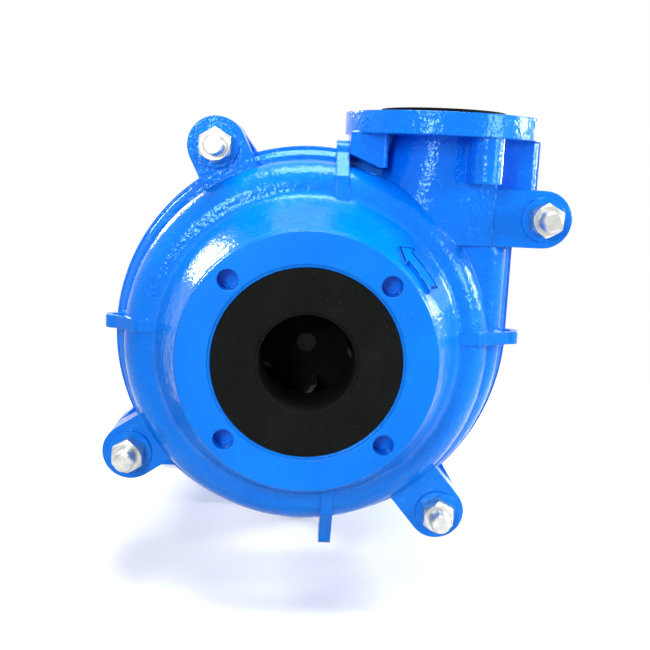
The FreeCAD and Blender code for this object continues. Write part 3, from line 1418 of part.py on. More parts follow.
def frame_nuts():
    body = new_body("frame_nuts")
    seat = s.frame_back + s.joint_gap * 2 + s.base_ring_thick
    outlines = []
    for place in stud_places():
        outlines.append(hexagon(s.frame_nut_flats, *place))
        outlines.append(circle(s.frame_stud_radius + s.thread_clearance, *place))
    slab(body, "Nuts", outlines, seat, seat + s.frame_nut_height)
    return body


def clamp_washers():
    body = new_body("clamp_washers")
    low = s.rail_top + s.joint_gap
    outlines = []
    for side in (-1, 1):
        for place in CLAMP_DEPTHS:
            centre = CLAMP_ACROSS * side
            inner = centre - 28 * side
            outer = centre + 11 * side
            ends = sorted((inner, outer), key=lambda end: end.value)
            outlines.append(box_outline(ends[0], place - 17, ends[1], place + 17))
            outlines.append((centre, place, s.frame_stud_radius + s.bolt_clearance))
    column(body, "Washers", outlines, low, low + 11)
    return body


def clamp_bolts():
    body = new_body("clamp_bolts")
    seat = s.rail_top + s.joint_gap * 2 + 11
    for number, (side, place) in enumerate((side, place) for side in (-1, 1) for place in CLAMP_DEPTHS):
        centre = (CLAMP_ACROSS * side, place)
        column(body, "Shank%d" % number, [(*centre, s.frame_stud_radius)], s.rail_top - 32, seat + 1)
        column(body, "Head%d" % number, [hexagon(s.frame_nut_flats, *centre)], seat, seat + 10)
    return body


def adjusting_screw():
    body = new_body("adjusting_screw")
    slab(body, "Screw", [circle(s.adjust_radius, 0, -s.adjust_drop)], CRADLE_BACK - 23, HOUSING_BACK + 28)
    return body


def adjusting_nuts():
    body = new_body("adjusting_nuts")
    flats = s.frame_nut_flats
    bore = circle(s.adjust_radius + s.thread_clearance, 0, -s.adjust_drop)
    nut = [hexagon(flats, 0, -s.adjust_drop), bore]
    front = HOUSING_BACK - 16 - s.joint_gap
    slab(body, "FrontNut", nut, front - 12, front)
    back = HOUSING_BACK + s.joint_gap
    slab(body, "RearNut", nut, back, back + 12)
    return body


# ---------------------------------------------------------------- casing bolts


def chamfer_hex(body, name, flats, face, sign, across, height):
    """Round off the corners of a hexagon at a face; the sign points out of the face."""
    flats = size(flats)
    inner = flats * 0.475
    outer = flats * 0.6
    turn(body, name, [(inner, face), (outer, face - 4.5 * sign), (outer, face + 1 * sign), (inner, face + 1 * sign)],
         across, height, cut=True)


def cover_plate_bolts():
    body = new_body("cover_plate_bolts")
    seat = s.rear_ear_depth + s.joint_gap
    radius = s.cover_bolt_radius
    end = s.cover_bolt_end
    for number, ear in enumerate(ears(), start=1):
        across, height = ear[0], ear[1]
        turn(body, "Shank%d" % number, [
            (0, end), (radius - 2, end), (radius, end + 2), (radius, seat + 1), (0, seat + 1)], across, height)
        slab(body, "Head%d" % number, [hexagon(s.cover_nut_flats, across, height)],
             seat, seat + s.cover_head_height)
    return body


def cover_plate_nuts():
    body = new_body("cover_plate_nuts")
    seat = s.ear_front - s.ear_pad_rise - s.joint_gap
    face = seat - s.cover_nut_height
    for number, ear in enumerate(ears(), start=1):
        across, height = ear[0], ear[1]
        bore = circle(s.cover_bolt_radius + s.thread_clearance, across, height)
        slab(body, "Nut%d" % number, [hexagon(s.cover_nut_flats, across, height), bore], face, seat)
        chamfer_hex(body, "NutRound%d" % number, s.cover_nut_flats, face, -1, across, height)
    return body


# ---------------------------------------------------------------- build, check and write


def build_all():
    return [
        cover_plate(), frame_plate(), cover_plate_liner(), frame_plate_liner(), frame_plate_insert(),
        impeller(), shaft(), shaft_key(), shaft_sleeve(), shaft_spacer(), stuffing_box(), lantern_ring(),
        packing_rings(), gland_halves(), gland_clamp_bolts(), gland_bolts(), gland_nuts(),
        bearing_housing(), grease_nipples(), end_cover("front_end_cover", -1), end_cover("rear_end_cover", 1),
        end_cover_screws(), labyrinth("front_labyrinth", -1), labyrinth("rear_labyrinth", 1),
        labyrinth_locknut(), bearing_cup("front_bearing_cup", -1), bearing_cup("rear_bearing_cup", 1),
        bearing_cone("front_bearing_cone", -1), bearing_cone("rear_bearing_cone", 1),
        bearing_rollers("front_bearing_rollers", -1), bearing_rollers("rear_bearing_rollers", 1),
        bearing_cage("front_bearing_cage", -1), bearing_cage("rear_bearing_cage", 1),
        base(), frame_studs(), frame_nuts(), clamp_washers(), clamp_bolts(), adjusting_screw(),
        adjusting_nuts(), cover_plate_bolts(), cover_plate_nuts(),
    ]


def check(pieces):
    doc.recompute()
    failed = [item.Name for item in doc.Objects if "Invalid" in item.State or "Error" in item.State]
    if failed:
        raise RuntimeError("these objects failed: %s" % ", ".join(failed))
    for piece in pieces:
        if piece.Shape.isNull() or not piece.Shape.isValid() or not piece.Shape.Solids:
            raise RuntimeError("%s has no valid solid" % piece.Label)


pieces = build_all()
check(pieces)
for piece in pieces:
    piece.Shape.exportStep("parts/%s.step" % piece.Label)
    print(piece.Label, len(piece.Shape.Solids))
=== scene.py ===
"""Slurry pump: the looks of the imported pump, its small fittings and the studio round it."""

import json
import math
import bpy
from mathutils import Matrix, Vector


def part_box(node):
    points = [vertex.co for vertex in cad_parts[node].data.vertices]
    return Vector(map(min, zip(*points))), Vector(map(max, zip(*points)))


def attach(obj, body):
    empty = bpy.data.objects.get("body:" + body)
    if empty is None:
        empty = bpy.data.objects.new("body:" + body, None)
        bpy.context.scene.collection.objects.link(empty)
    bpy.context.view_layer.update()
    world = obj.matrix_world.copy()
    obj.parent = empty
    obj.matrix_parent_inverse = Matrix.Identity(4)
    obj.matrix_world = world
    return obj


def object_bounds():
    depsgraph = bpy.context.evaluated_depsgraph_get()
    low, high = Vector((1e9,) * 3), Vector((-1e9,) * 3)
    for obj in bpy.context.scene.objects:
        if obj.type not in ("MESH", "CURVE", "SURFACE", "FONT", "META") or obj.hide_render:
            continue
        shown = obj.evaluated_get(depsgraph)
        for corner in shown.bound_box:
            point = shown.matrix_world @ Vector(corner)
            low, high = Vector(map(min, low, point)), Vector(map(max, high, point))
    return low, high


bl_info = {
    "name": "Slurry Pump",
    "version": (1, 0, 0),
    "blender": (4, 5, 0),
    "location": "3D View > Sidebar > Slurry Pump",
    "description": "Finishes and small fittings of a rubber-lined slurry pump",
    "category": "Object",
}

import bmesh
import bpy
from mathutils import Matrix, Vector
from mathutils.bvhtree import BVHTree

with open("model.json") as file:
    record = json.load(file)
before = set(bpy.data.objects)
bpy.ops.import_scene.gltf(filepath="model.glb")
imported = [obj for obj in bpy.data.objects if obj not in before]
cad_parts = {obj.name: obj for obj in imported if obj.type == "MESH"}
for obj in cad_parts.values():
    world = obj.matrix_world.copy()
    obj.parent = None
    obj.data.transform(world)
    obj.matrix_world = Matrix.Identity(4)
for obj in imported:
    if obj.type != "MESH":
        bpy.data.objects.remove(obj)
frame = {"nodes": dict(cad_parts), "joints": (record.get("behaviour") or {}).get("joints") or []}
CAD_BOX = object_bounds()
MM = 0.001

# radii of the threaded shanks
CASING_BOLT = 10 * MM
FRAME_STUD = 8 * MM
GLAND_BOLT = 6 * MM
ADJUSTING_SCREW = 8 * MM


# ---------------------------------------------------------------- shader maths


class Value:
    """A node's output that takes part in sums."""

    def __init__(self, nodes, socket):
        self.nodes = nodes
        self.socket = socket

    def maths(self, operation, *terms):
        numbers = {index: term for index, term in enumerate(terms)}
        return self.nodes.node("ShaderNodeMath", {"operation": operation}, numbers)

    def __add__(self, other):
        return self.maths("ADD", self, other)

    def __radd__(self, other):
        return self.maths("ADD", other, self)

    def __sub__(self, other):
        return self.maths("SUBTRACT", self, other)

    def __rsub__(self, other):
        return self.maths("SUBTRACT", other, self)

    def __mul__(self, other):
        return self.maths("MULTIPLY", self, other)

    def __rmul__(self, other):
        return self.maths("MULTIPLY", other, self)

    def __gt__(self, other):
        return self.maths("GREATER_THAN", self, other)

    def __lt__(self, other):
        return self.maths("LESS_THAN", self, other)

    def root(self):
        return self.maths("SQRT", self)

    def sine(self):
        return self.maths("SINE", self)

    def larger(self, other):
        return self.maths("MAXIMUM", self, other)

    def fade(self, low, high):
        """0 at or below low, 1 at or above high."""
        sockets = {"Value": self, "From Min": low, "From Max": high}
        return self.nodes.node("ShaderNodeMapRange", {"interpolation_type": "SMOOTHSTEP"}, sockets)


class Nodes:
    """A node tree that is built from values."""

    def __init__(self, owner):
        owner.use_nodes = True
        self.tree = owner.node_tree
        self.tree.nodes.clear()

    def node(self, kind, settings=None, sockets=None, output=0):
        """A node with its settings, the values or links of its sockets, and one of its outputs."""
        made = self.tree.nodes.new(kind)
        for name, setting in (settings or {}).items():
            setattr(made, name, setting)
        for name, value in (sockets or {}).items():
            socket = made.inputs[name]
            if isinstance(value, Value):
                self.tree.links.new(value.socket, socket)
            elif socket.type == "RGBA":
                socket.default_value = (*value[:3], 1)
            else:
                socket.default_value = value
        return Value(self, made.outputs[output])

    def seen_rays(self):
        """1 for rays that show the surface itself, 0 for the ones that only carry its light."""
        camera = self.node("ShaderNodeLightPath", output="Is Camera Ray")
        glossy = self.node("ShaderNodeLightPath", output="Is Glossy Ray")
        through = self.node("ShaderNodeLightPath", output="Is Transmission Ray")
        return camera.larger(glossy.larger(through))

    def put_out(self, kind, surface):
        """Links a surface to the tree's output node."""
        out = self.tree.nodes.new(kind)
        self.tree.links.new(surface.socket, out.inputs["Surface"])


class Finish(Nodes):
    """A material whose colour, roughness and relief are worked out by nodes."""

    def __init__(self, name):
        self.material = bpy.data.materials.new(name)
        super().__init__(self.material)
        self.place = self.node("ShaderNodeTexCoord", output="Object")
        self.x = self.node("ShaderNodeSeparateXYZ", {}, {"Vector": self.place}, "X")
        self.y = self.node("ShaderNodeSeparateXYZ", {}, {"Vector": self.place}, "Y")
        self.z = self.node("ShaderNodeSeparateXYZ", {}, {"Vector": self.place}, "Z")

    def noise(self, scale, detail, roughness, stretch=None):
        """Smooth noise; the scale is in lumps per metre."""
        place = self.place
        if stretch:
            place = self.node("ShaderNodeMapping", {}, {"Vector": place, "Scale": stretch})
        sockets = {"Vector": place, "Scale": scale, "Detail": detail, "Roughness": roughness}
        return self.node("ShaderNodeTexNoise", {}, sockets, "Fac")

    def mix(self, factor, first, second):
        """Two colours mixed; a Mix node takes colours at inputs 6 and 7 and gives one at output 2."""
        sockets = {"Factor": factor, 6: first, 7: second}
        return self.node("ShaderNodeMix", {"data_type": "RGBA"}, sockets, 2)

    def bump(self, relief, depth, edge_radius):
        """Relief of this depth, over edges that are rounded off by the edge radius."""
        worn = self.node("ShaderNodeBevel", {"samples": 4}, {"Radius": edge_radius})
        return self.node("ShaderNodeBump", {}, {"Height": relief, "Distance": depth, "Normal": worn})

    def close(self, varying, fixed):
        """The surface: varying sockets take links, fixed ones are set on the shader itself."""
        return self.show(self.node("ShaderNodeBsdfPrincipled", {}, {**varying, **fixed}))

    def show(self, surface):
        """The finished material with this surface."""
        self.put_out("ShaderNodeOutputMaterial", surface)
        return self.material


# ---------------------------------------------------------------- finishes


def enamel(name, looks, skin_depth, machined=None):
    """Gloss enamel over cast iron with a rough skin; machined(finish) gives where the iron is flat."""
    blue_sheen = (0.32, 0.66, 1.0)
    finish = Finish(name)
    lumps = finish.noise(scale=70, detail=1, roughness=0.4)
    grain = finish.noise(scale=260, detail=1.5, roughness=0.45)
    peel = finish.noise(scale=800, detail=1, roughness=0.5)
    relief = lumps * 0.95 + grain * 0.62 + peel * 0.04
    tone = finish.noise(scale=14, detail=4, roughness=0.6)
    colour = finish.mix(tone.fade(0.3, 0.75), looks.enamel_deep, looks.enamel)
    thin = (grain * 0.7 + lumps * 0.3).fade(0.56, 0.72)
    colour = finish.mix(thin * 0.3, colour, looks.enamel_light)
    dust = finish.noise(scale=60, detail=6, roughness=0.7).fade(0.64, 0.86)
    colour = finish.mix(dust * 0.08, colour, looks.dust)
    roughness = 0.12 + peel * 0.06 + dust * 0.15
    if machined:
        flat = machined(finish)
        relief = relief * (1 - flat) + flat * peel * 0.05
        roughness = roughness * (1 - flat) + flat * 0.34
    return finish.close(
        {"Base Color": colour, "Roughness": roughness,
         "Normal": finish.bump(relief, depth=skin_depth, edge_radius=2.4 * MM)},
        {"IOR": 1.5, "Specular Tint": blue_sheen})


def rubber(name, looks):
    """Moulded rubber with a fine skin, faint bloom and a few specks of dust."""
    finish = Finish(name)
    skin = finish.noise(scale=700, detail=4, roughness=0.6)
    bloom = finish.noise(scale=26, detail=5, roughness=0.65)
    specks = finish.noise(scale=900, detail=1, roughness=0.4).fade(0.72, 0.80)
    colour = finish.mix(bloom.fade(0.35, 0.8), looks.rubber, looks.rubber_bloom)
    colour = finish.mix(specks * 0.12, colour, looks.dust)
    roughness = 0.62 + bloom * 0.22
    relief = skin * 0.6 + bloom * 0.8
    return finish.close(
        {"Base Color": colour, "Roughness": roughness,
         "Normal": finish.bump(relief, depth=0.12 * MM, edge_radius=1.0 * MM)},
        {"IOR": 1.4, "Specular IOR Level": 0.08})


def zinc(name, looks):
    """Bright zinc plating with a faint haze and small scuffs."""
    scuff_grey = (0.25, 0.24, 0.22)
    finish = Finish(name)
    haze = finish.noise(scale=130, detail=5, roughness=0.65)
    scuffs = finish.noise(scale=900, detail=3, roughness=0.6, stretch=(1, 0.12, 1))
    colour = finish.mix(haze.fade(0.35, 0.8), looks.zinc, looks.zinc_haze)
    colour = finish.mix(scuffs.fade(0.66, 0.8) * 0.4, colour, scuff_grey)
    roughness = 0.24 + haze * 0.22
    relief = scuffs * 0.5 + haze * 0.5
    return finish.close(
        {"Base Color": colour, "Roughness": roughness,
         "Normal": finish.bump(relief, depth=0.08 * MM, edge_radius=0.5 * MM)},
        {"Metallic": 1.0})


def turned_metal(name, clean, lowest_roughness, ring_scale):
    """Metal with the fine rings that the lathe or the grinding wheel leaves, under a film of oil."""
    oily = tuple(part * 0.72 for part in clean)
    finish = Finish(name)
    rings = finish.noise(scale=ring_scale, detail=2, roughness=0.5, stretch=(0.004, 1, 0.004))
    film = finish.noise(scale=45, detail=4, roughness=0.6)
    colour = finish.mix(film.fade(0.4, 0.8) * 0.5, clean, oily)
    roughness = lowest_roughness + rings * 0.12 + film * 0.10
    return finish.close(
        {"Base Color": colour, "Roughness": roughness,
         "Normal": finish.bump(rings, depth=0.03 * MM, edge_radius=0.4 * MM)},
        {"Metallic": 1.0})


def raw_casting(name, looks):
    """Bare hard iron with a dark skin and a sandy grain."""
    sand_grey = (0.07, 0.066, 0.06)
    finish = Finish(name)
    grain = finish.noise(scale=380, detail=6, roughness=0.65)
    stain = finish.noise(scale=22, detail=5, roughness=0.6)
    colour = finish.mix(stain.fade(0.35, 0.75), looks.iron, looks.iron_stain)
    colour = finish.mix(grain.fade(0.58, 0.8) * 0.5, colour, sand_grey)
    roughness = 0.48 + grain * 0.25
    return finish.close(
        {"Base Color": colour, "Roughness": roughness,
         "Normal": finish.bump(grain, depth=0.5 * MM, edge_radius=1.2 * MM)},
        {"Metallic": 0.7})


def plaited_packing(name, looks):
    """Plaited cord whose strands cross on the slant round the sleeve."""
    waves_round = 30
    waves_along = 1800
    between_strands = (0.17, 0.14, 0.09)
    finish = Finish(name)
    turn_angle = finish.z.maths("ARCTAN2", finish.z, finish.x)
    slope = turn_angle * waves_round + finish.y * waves_along
    back = turn_angle * waves_round - finish.y * waves_along
    weave = slope.sine() * back.sine()
    fibre = finish.noise(scale=1800, detail=3, roughness=0.6)
    colour = finish.mix(weave.fade(-0.6, 0.8), between_strands, looks.packing)
    roughness = 0.75 + fibre * 0.2
    relief = weave * 0.6 + fibre * 0.4
    return finish.close(
        {"Base Color": colour, "Roughness": roughness,
         "Normal": finish.bump(relief, depth=0.6 * MM, edge_radius=0.5 * MM)},
        {"IOR": 1.45})


# ---------------------------------------------------------------- sizes and colours a user changes


class SlurryPumpLooks(bpy.types.PropertyGroup):
    """Colours of the pump's finishes."""

    enamel: bpy.props.FloatVectorProperty(
        name="Enamel", description="Main colour of the enamel",
        subtype="COLOR", default=(0.0, 0.20, 0.82))
    enamel_deep: bpy.props.FloatVectorProperty(
        name="Deep enamel", description="Enamel where it lies thick",
        subtype="COLOR", default=(0.0, 0.165, 0.76))
    enamel_light: bpy.props.FloatVectorProperty(
        name="Light enamel", description="Enamel over the sand grain",
        subtype="COLOR", default=(0.01, 0.32, 0.95))
    dust: bpy.props.FloatVectorProperty(
        name="Dust", description="Pale dust", subtype="COLOR", default=(0.35, 0.42, 0.48))
    rubber: bpy.props.FloatVectorProperty(
        name="Rubber", description="Colour of the liners",
        subtype="COLOR", default=(0.0045, 0.005, 0.005))
    rubber_bloom: bpy.props.FloatVectorProperty(
        name="Rubber bloom", description="Liners where they have bloomed",
        subtype="COLOR", default=(0.009, 0.0095, 0.009))
    zinc: bpy.props.FloatVectorProperty(
        name="Zinc", description="Colour of the plated fasteners",
        subtype="COLOR", default=(0.63, 0.635, 0.61))
    zinc_haze: bpy.props.FloatVectorProperty(
        name="Zinc haze", description="Plating where it has dulled",
        subtype="COLOR", default=(0.42, 0.43, 0.40))
    steel: bpy.props.FloatVectorProperty(
        name="Steel", description="Colour of the machined steel",
        subtype="COLOR", default=(0.56, 0.57, 0.58))
    iron: bpy.props.FloatVectorProperty(
        name="Hard iron", description="Colour of the impeller",
        subtype="COLOR", default=(0.024, 0.023, 0.022))
    iron_stain: bpy.props.FloatVectorProperty(
        name="Iron stain", description="Stains on the impeller",
        subtype="COLOR", default=(0.017, 0.014, 0.013))
    bronze: bpy.props.FloatVectorProperty(
        name="Bronze", description="Cages, lantern ring and nipples",
        subtype="COLOR", default=(0.60, 0.40, 0.16))
    packing: bpy.props.FloatVectorProperty(
        name="Packing", description="Plaited packing", subtype="COLOR", default=(0.42, 0.37, 0.27))


class SlurryPumpFittings(bpy.types.PropertyGroup):
    """Sizes of the fittings that are modelled here."""

    coarse_pitch: bpy.props.FloatProperty(
        name="Coarse pitch", description="Pitch of the casing bolts' threads", subtype="DISTANCE",
        default=2.5 * MM, min=0.5 * MM, max=6 * MM)
    fine_pitch: bpy.props.FloatProperty(
        name="Fine pitch", description="Pitch of the smaller threads", subtype="DISTANCE",
        default=2.0 * MM, min=0.5 * MM, max=6 * MM)
    thread_rise: bpy.props.FloatProperty(
        name="Thread rise", description="How far a thread stands out of its shank", subtype="DISTANCE",
        default=0.4 * MM, min=0.05 * MM, max=1.5 * MM)
    arrow_rise: bpy.props.FloatProperty(
        name="Arrow rise", description="How far the arrow stands out of the casting",
        subtype="DISTANCE", default=3.2 * MM, min=0.5 * MM, max=6 * MM)


class SlurryPumpStudio(bpy.types.PropertyGroup):
    """The camera and the lights."""

    lens: bpy.props.FloatProperty(
        name="Lens", description="Focal length on a 36 mm sensor, in millimetres",
        default=50.84, min=10, max=300)
    top_light: bpy.props.FloatProperty(
        name="Top light", description="Power of the light above",
        subtype="POWER", default=28, min=0, max=400)
    key_light: bpy.props.FloatProperty(
        name="Key light", description="Power of the light in front, to the left",
        subtype="POWER", default=15, min=0, max=400)
    fill_light: bpy.props.FloatProperty(
        name="Fill light", description="Power of the light in front, to the right",
        subtype="POWER", default=7, min=0, max=400)
    side_light: bpy.props.FloatProperty(
        name="Side light", description="Power of each side light",
        subtype="POWER", default=14, min=0, max=400)
    room_light: bpy.props.FloatProperty(
        name="Room light", description="Strength of the light from all round",
        default=0.36, min=0, max=4)


GROUPS = {
    "slurry_pump_looks": SlurryPumpLooks,
    "slurry_pump_fittings": SlurryPumpFittings,
    "slurry_pump_studio": SlurryPumpStudio,
}


# ---------------------------------------------------------------- pieces


def node_object(name):
    return frame["nodes"][name]


def paint(names, material):
    """Gives CAD nodes their finish."""
    for name in names:
        target = node_object(name)
        target.data.materials.clear()
        target.data.materials.append(material)


def add_piece(name, mesh, material, body, crease_angle):
    """An object at the origin from a bmesh, creased from an angle in degrees and riding on a body."""
    data = bpy.data.meshes.new(name)
    mesh.to_mesh(data)
    mesh.free()
    piece = bpy.data.objects.new(name, data)
    bpy.context.scene.collection.objects.link(piece)
    data.materials.append(material)
    data.shade_smooth()
    data.set_sharp_from_angle(angle=math.radians(crease_angle))
    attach(piece, body)


def solids(name):
    """The lowest and highest corner of each separate solid of a CAD node."""
    same_place = 0.001 * MM
    mesh = bmesh.new()
    mesh.from_mesh(node_object(name).data)
    bmesh.ops.remove_doubles(mesh, verts=mesh.verts, dist=same_place)
    seen = set()
    corners = []
    for start in mesh.verts:
        if start in seen:
            continue
        seen.add(start)
        group = [start]
        for vert in group:
            for edge in vert.link_edges:
                other = edge.other_vert(vert)
                if other not in seen:
                    seen.add(other)
                    group.append(other)
        columns = list(zip(*(vert.co for vert in group)))
        corners.append((Vector(map(min, columns)), Vector(map(max, columns))))
    mesh.free()
    return corners


def wind_thread(mesh, across, height, radius, start, end, pitch, rise):
    """Winds a ridge from start to end round a screw that lies along the shaft, its foot inside the shank."""
    steps_in_a_turn = 24
    foot = radius - 0.1 * MM
    width = pitch * 0.85
    turns = (end - start - width) / pitch
    steps = max(3, round(turns * steps_in_a_turn))
    section = [(foot, start), (radius + rise, start + width / 2), (foot, start + width)]
    verts = [mesh.verts.new((across + reach, depth, height)) for reach, depth in section]
    ring = [mesh.edges.new(pair) for pair in zip(verts, verts[1:] + verts[:1])]
    wound = bmesh.ops.spin(
        mesh, geom=verts + ring, cent=(across, 0, height), axis=(0, 1, 0), angle=2 * math.pi * turns,
        steps=steps, dvec=(0, pitch * turns / steps, 0), use_merge=False, use_duplicate=False)
    last = [part for part in wound["geom_last"] if isinstance(part, bmesh.types.BMEdge)]
    for end_ring in (ring, last):
        bmesh.ops.contextual_create(mesh, geom=end_ring)


def add_threads(name, bolts, radius, pitch, rise, stretches):
    """A thread over each free stretch of each bolt; stretches(low, high) gives them from a bolt's ends."""
    mesh = bmesh.new()
    for low, high in solids(bolts):
        across = (low.x + high.x) / 2
        height = (low.z + high.z) / 2
        for start, end in stretches(low.y, high.y):
            wind_thread(mesh, across, height, radius, start, end, pitch, rise)
    bmesh.ops.recalc_face_normals(mesh, faces=mesh.faces)
    add_piece(name, mesh, bpy.data.materials["bright_zinc"], "casing", crease_angle=35)


class SLURRYPUMP_OT_castings(bpy.types.Operator):
    """Enamel the iron castings."""

    bl_idname = "slurrypump.castings"
    bl_label = "Enamel castings"

    def execute(self, context):
        looks = context.scene.slurry_pump_looks
        coarse_skin = 0.9 * MM
        fine_skin = 0.4 * MM
        face_depth = 0.3 * MM

        def intake_face(finish):
            return finish.y < face_depth

        paint(["cover_plate"], enamel("enamel_cover", looks, coarse_skin, intake_face))
        paint(["frame_plate", "base", "stuffing_box", "gland_halves"],
              enamel("enamel_frame", looks, coarse_skin))
        paint(["bearing_housing", "front_end_cover", "rear_end_cover"],
              enamel("enamel_housing", looks, fine_skin))
        paint(["impeller"], raw_casting("hard_iron", looks))
        return {"FINISHED"}


class SLURRYPUMP_OT_liners(bpy.types.Operator):
    """Give the liners and the packing their finish."""

    bl_idname = "slurrypump.liners"
    bl_label = "Liners and packing"

    def execute(self, context):
        looks = context.scene.slurry_pump_looks
        paint(["cover_plate_liner", "frame_plate_liner", "frame_plate_liner_insert"],
              rubber("liner_rubber", looks))
        paint(["packing_rings"], plaited_packing("plaited_packing", looks))
        return {"FINISHED"}


class SLURRYPUMP_OT_metalwork(bpy.types.Operator):
    """Give the fasteners, the shaft and the bearings their finish."""

    bl_idname = "slurrypump.metalwork"
    bl_label = "Fasteners, shaft and bearings"

    def execute(self, context):
        looks = context.scene.slurry_pump_looks
        ground_grey = (0.66, 0.66, 0.66)
        bearing_grey = (0.70, 0.71, 0.72)
        paint(["cover_plate_bolts", "cover_plate_nuts", "frame_studs", "frame_nuts", "clamp_washers",
               "clamp_bolts", "gland_bolts", "gland_nuts", "gland_clamp_bolts", "adjusting_screw",
               "adjusting_nuts", "end_cover_screws"], zinc("bright_zinc", looks))
        paint(["shaft", "shaft_key", "shaft_spacer", "front_labyrinth", "rear_labyrinth",
               "labyrinth_locknut"],
              turned_metal("turned_steel", looks.steel, lowest_roughness=0.18, ring_scale=2600))
        paint(["shaft_sleeve"],
              turned_metal("ground_sleeve", ground_grey, lowest_roughness=0.10, ring_scale=4000))
        paint(["front_bearing_cup", "rear_bearing_cup", "front_bearing_cone", "rear_bearing_cone",
               "front_bearing_rollers", "rear_bearing_rollers"],
              turned_metal("bearing_steel", bearing_grey, lowest_roughness=0.08, ring_scale=5000))
        paint(["front_bearing_cage", "rear_bearing_cage", "lantern_ring", "grease_nipples"],
              turned_metal("bronze", looks.bronze, lowest_roughness=0.24, ring_scale=2000))
        return {"FINISHED"}


class SLURRYPUMP_OT_arrow(bpy.types.Operator):
    """Cast the arrow that shows which way the impeller turns."""

    bl_idname = "slurrypump.arrow"
    bl_label = "Turning arrow"

    # degrees round the shaft and millimetres behind the intake face: the point, one side, the notched
    # tail and the other side
    outline = (
        (53.0, 31), (47.2, 49), (47.6, 39), (39.0, 38), (30.2, 40),
        (33.4, 29), (31.6, 17.5), (39.0, 19), (47.4, 21), (47.2, 14.5))
    # degrees at which the flat arrow is cut across, so that it bends
    cuts = range(33, 53, 2)
    # how far from the shaft's axis the rays towards the cone start
    clear_of_cone = 155 * MM
    foot_in_iron = 0.3 * MM
    edge_bevel = 1.1 * MM
    # radians between two faces, above which the edge between them is rounded
    rim_angle = 1.0

    def execute(self, context):
        rise = context.scene.slurry_pump_fittings.arrow_rise
        mesh = bmesh.new()
        corners = [mesh.verts.new((math.radians(turn), depth * MM, 0)) for turn, depth in self.outline]
        raised = bmesh.ops.extrude_face_region(mesh, geom=[mesh.faces.new(corners)])["geom"]
        top = [part for part in raised if isinstance(part, bmesh.types.BMVert)]
        bmesh.ops.translate(mesh, verts=top, vec=(0, 0, rise))
        for turn in self.cuts:
            parts = mesh.verts[:] + mesh.edges[:] + mesh.faces[:]
            bmesh.ops.bisect_plane(
                mesh, geom=parts, plane_co=(math.radians(turn), 0, 0), plane_no=(1, 0, 0))
        bmesh.ops.recalc_face_normals(mesh, faces=mesh.faces)
        crest = self.lay_on_cone(mesh, rise, context)
        shared = [edge for edge in mesh.edges if edge.is_manifold]
        rim = [edge for edge in shared
               if edge.calc_face_angle() > self.rim_angle and crest.issuperset(edge.verts)]
        bmesh.ops.bevel(
            mesh, geom=rim, offset=self.edge_bevel, offset_type="OFFSET", segments=3, profile=0.5,
            affect="EDGES", material=-1, clamp_overlap=True)
        material = bpy.data.materials["enamel_cover"]
        add_piece("turning_arrow", mesh, material, "casing", crease_angle=50)
        return {"FINISHED"}

    def lay_on_cone(self, mesh, rise, context):
        """Bends the flat arrow onto the cone behind the intake flange and gives the points of its top."""
        cone = BVHTree.FromObject(node_object("cover_plate"), context.evaluated_depsgraph_get())
        crest = set()
        for vert in mesh.verts:
            turn, depth, lift = vert.co
            outward = Vector((math.cos(turn), 0, math.sin(turn)))
            start = outward * self.clear_of_cone + Vector((0, depth, 0))
            place, normal = cone.ray_cast(start, -outward)[:2]
            vert.co = place + normal * (lift - self.foot_in_iron)
            if lift > rise / 2:
                crest.add(vert)
        return crest


class SLURRYPUMP_OT_threads(bpy.types.Operator):
    """Wind the threads on the free ends of the bolts, studs and screws."""

    bl_idname = "slurrypump.threads"
    bl_label = "Threads"

    # the ends that stay plain, and the room that the threads leave to nuts that slide over them
    bolt_point = 2 * MM
    stud_point = 0.5 * MM
    nut_room = 0.3 * MM
    screw_in_cradle = 23.5 * MM

    def execute(self, context):
        fittings = context.scene.slurry_pump_fittings
        coarse = (fittings.coarse_pitch, fittings.thread_rise)
        fine = (fittings.fine_pitch, fittings.thread_rise)
        travel = {joint["name"]: joint["range_m"][1] for joint in frame["joints"] if "range_m" in joint}
        casing_nut_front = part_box("cover_plate_nuts")[0][1]
        frame_nut_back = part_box("frame_nuts")[1][1]
        gland_nut_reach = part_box("gland_nuts")[1][1] + travel["gland_slide"]
        front_nut, back_nut = sorted(solids("adjusting_nuts"), key=lambda corners: corners[0].y)
        slide_room = travel["cartridge_slide"] + self.nut_room

        def casing_bolt(low, high):
            return [(low + self.bolt_point, casing_nut_front)]

        def frame_stud(low, high):
            return [(frame_nut_back, high - self.stud_point)]

        def gland_bolt(low, high):
            return [(gland_nut_reach, high - self.stud_point)]

        def adjusting_screw(low, high):
            return [(low + self.screw_in_cradle, front_nut[0].y - slide_room),
                    (back_nut[1].y + slide_room, high - self.stud_point)]

        add_threads("casing_bolt_threads", "cover_plate_bolts", CASING_BOLT, *coarse, casing_bolt)
        add_threads("frame_stud_threads", "frame_studs", FRAME_STUD, *fine, frame_stud)
        add_threads("gland_bolt_threads", "gland_bolts", GLAND_BOLT, *fine, gland_bolt)
        add_threads("adjusting_screw_threads", "adjusting_screw", ADJUSTING_SCREW, *fine, adjusting_screw)
        return {"FINISHED"}


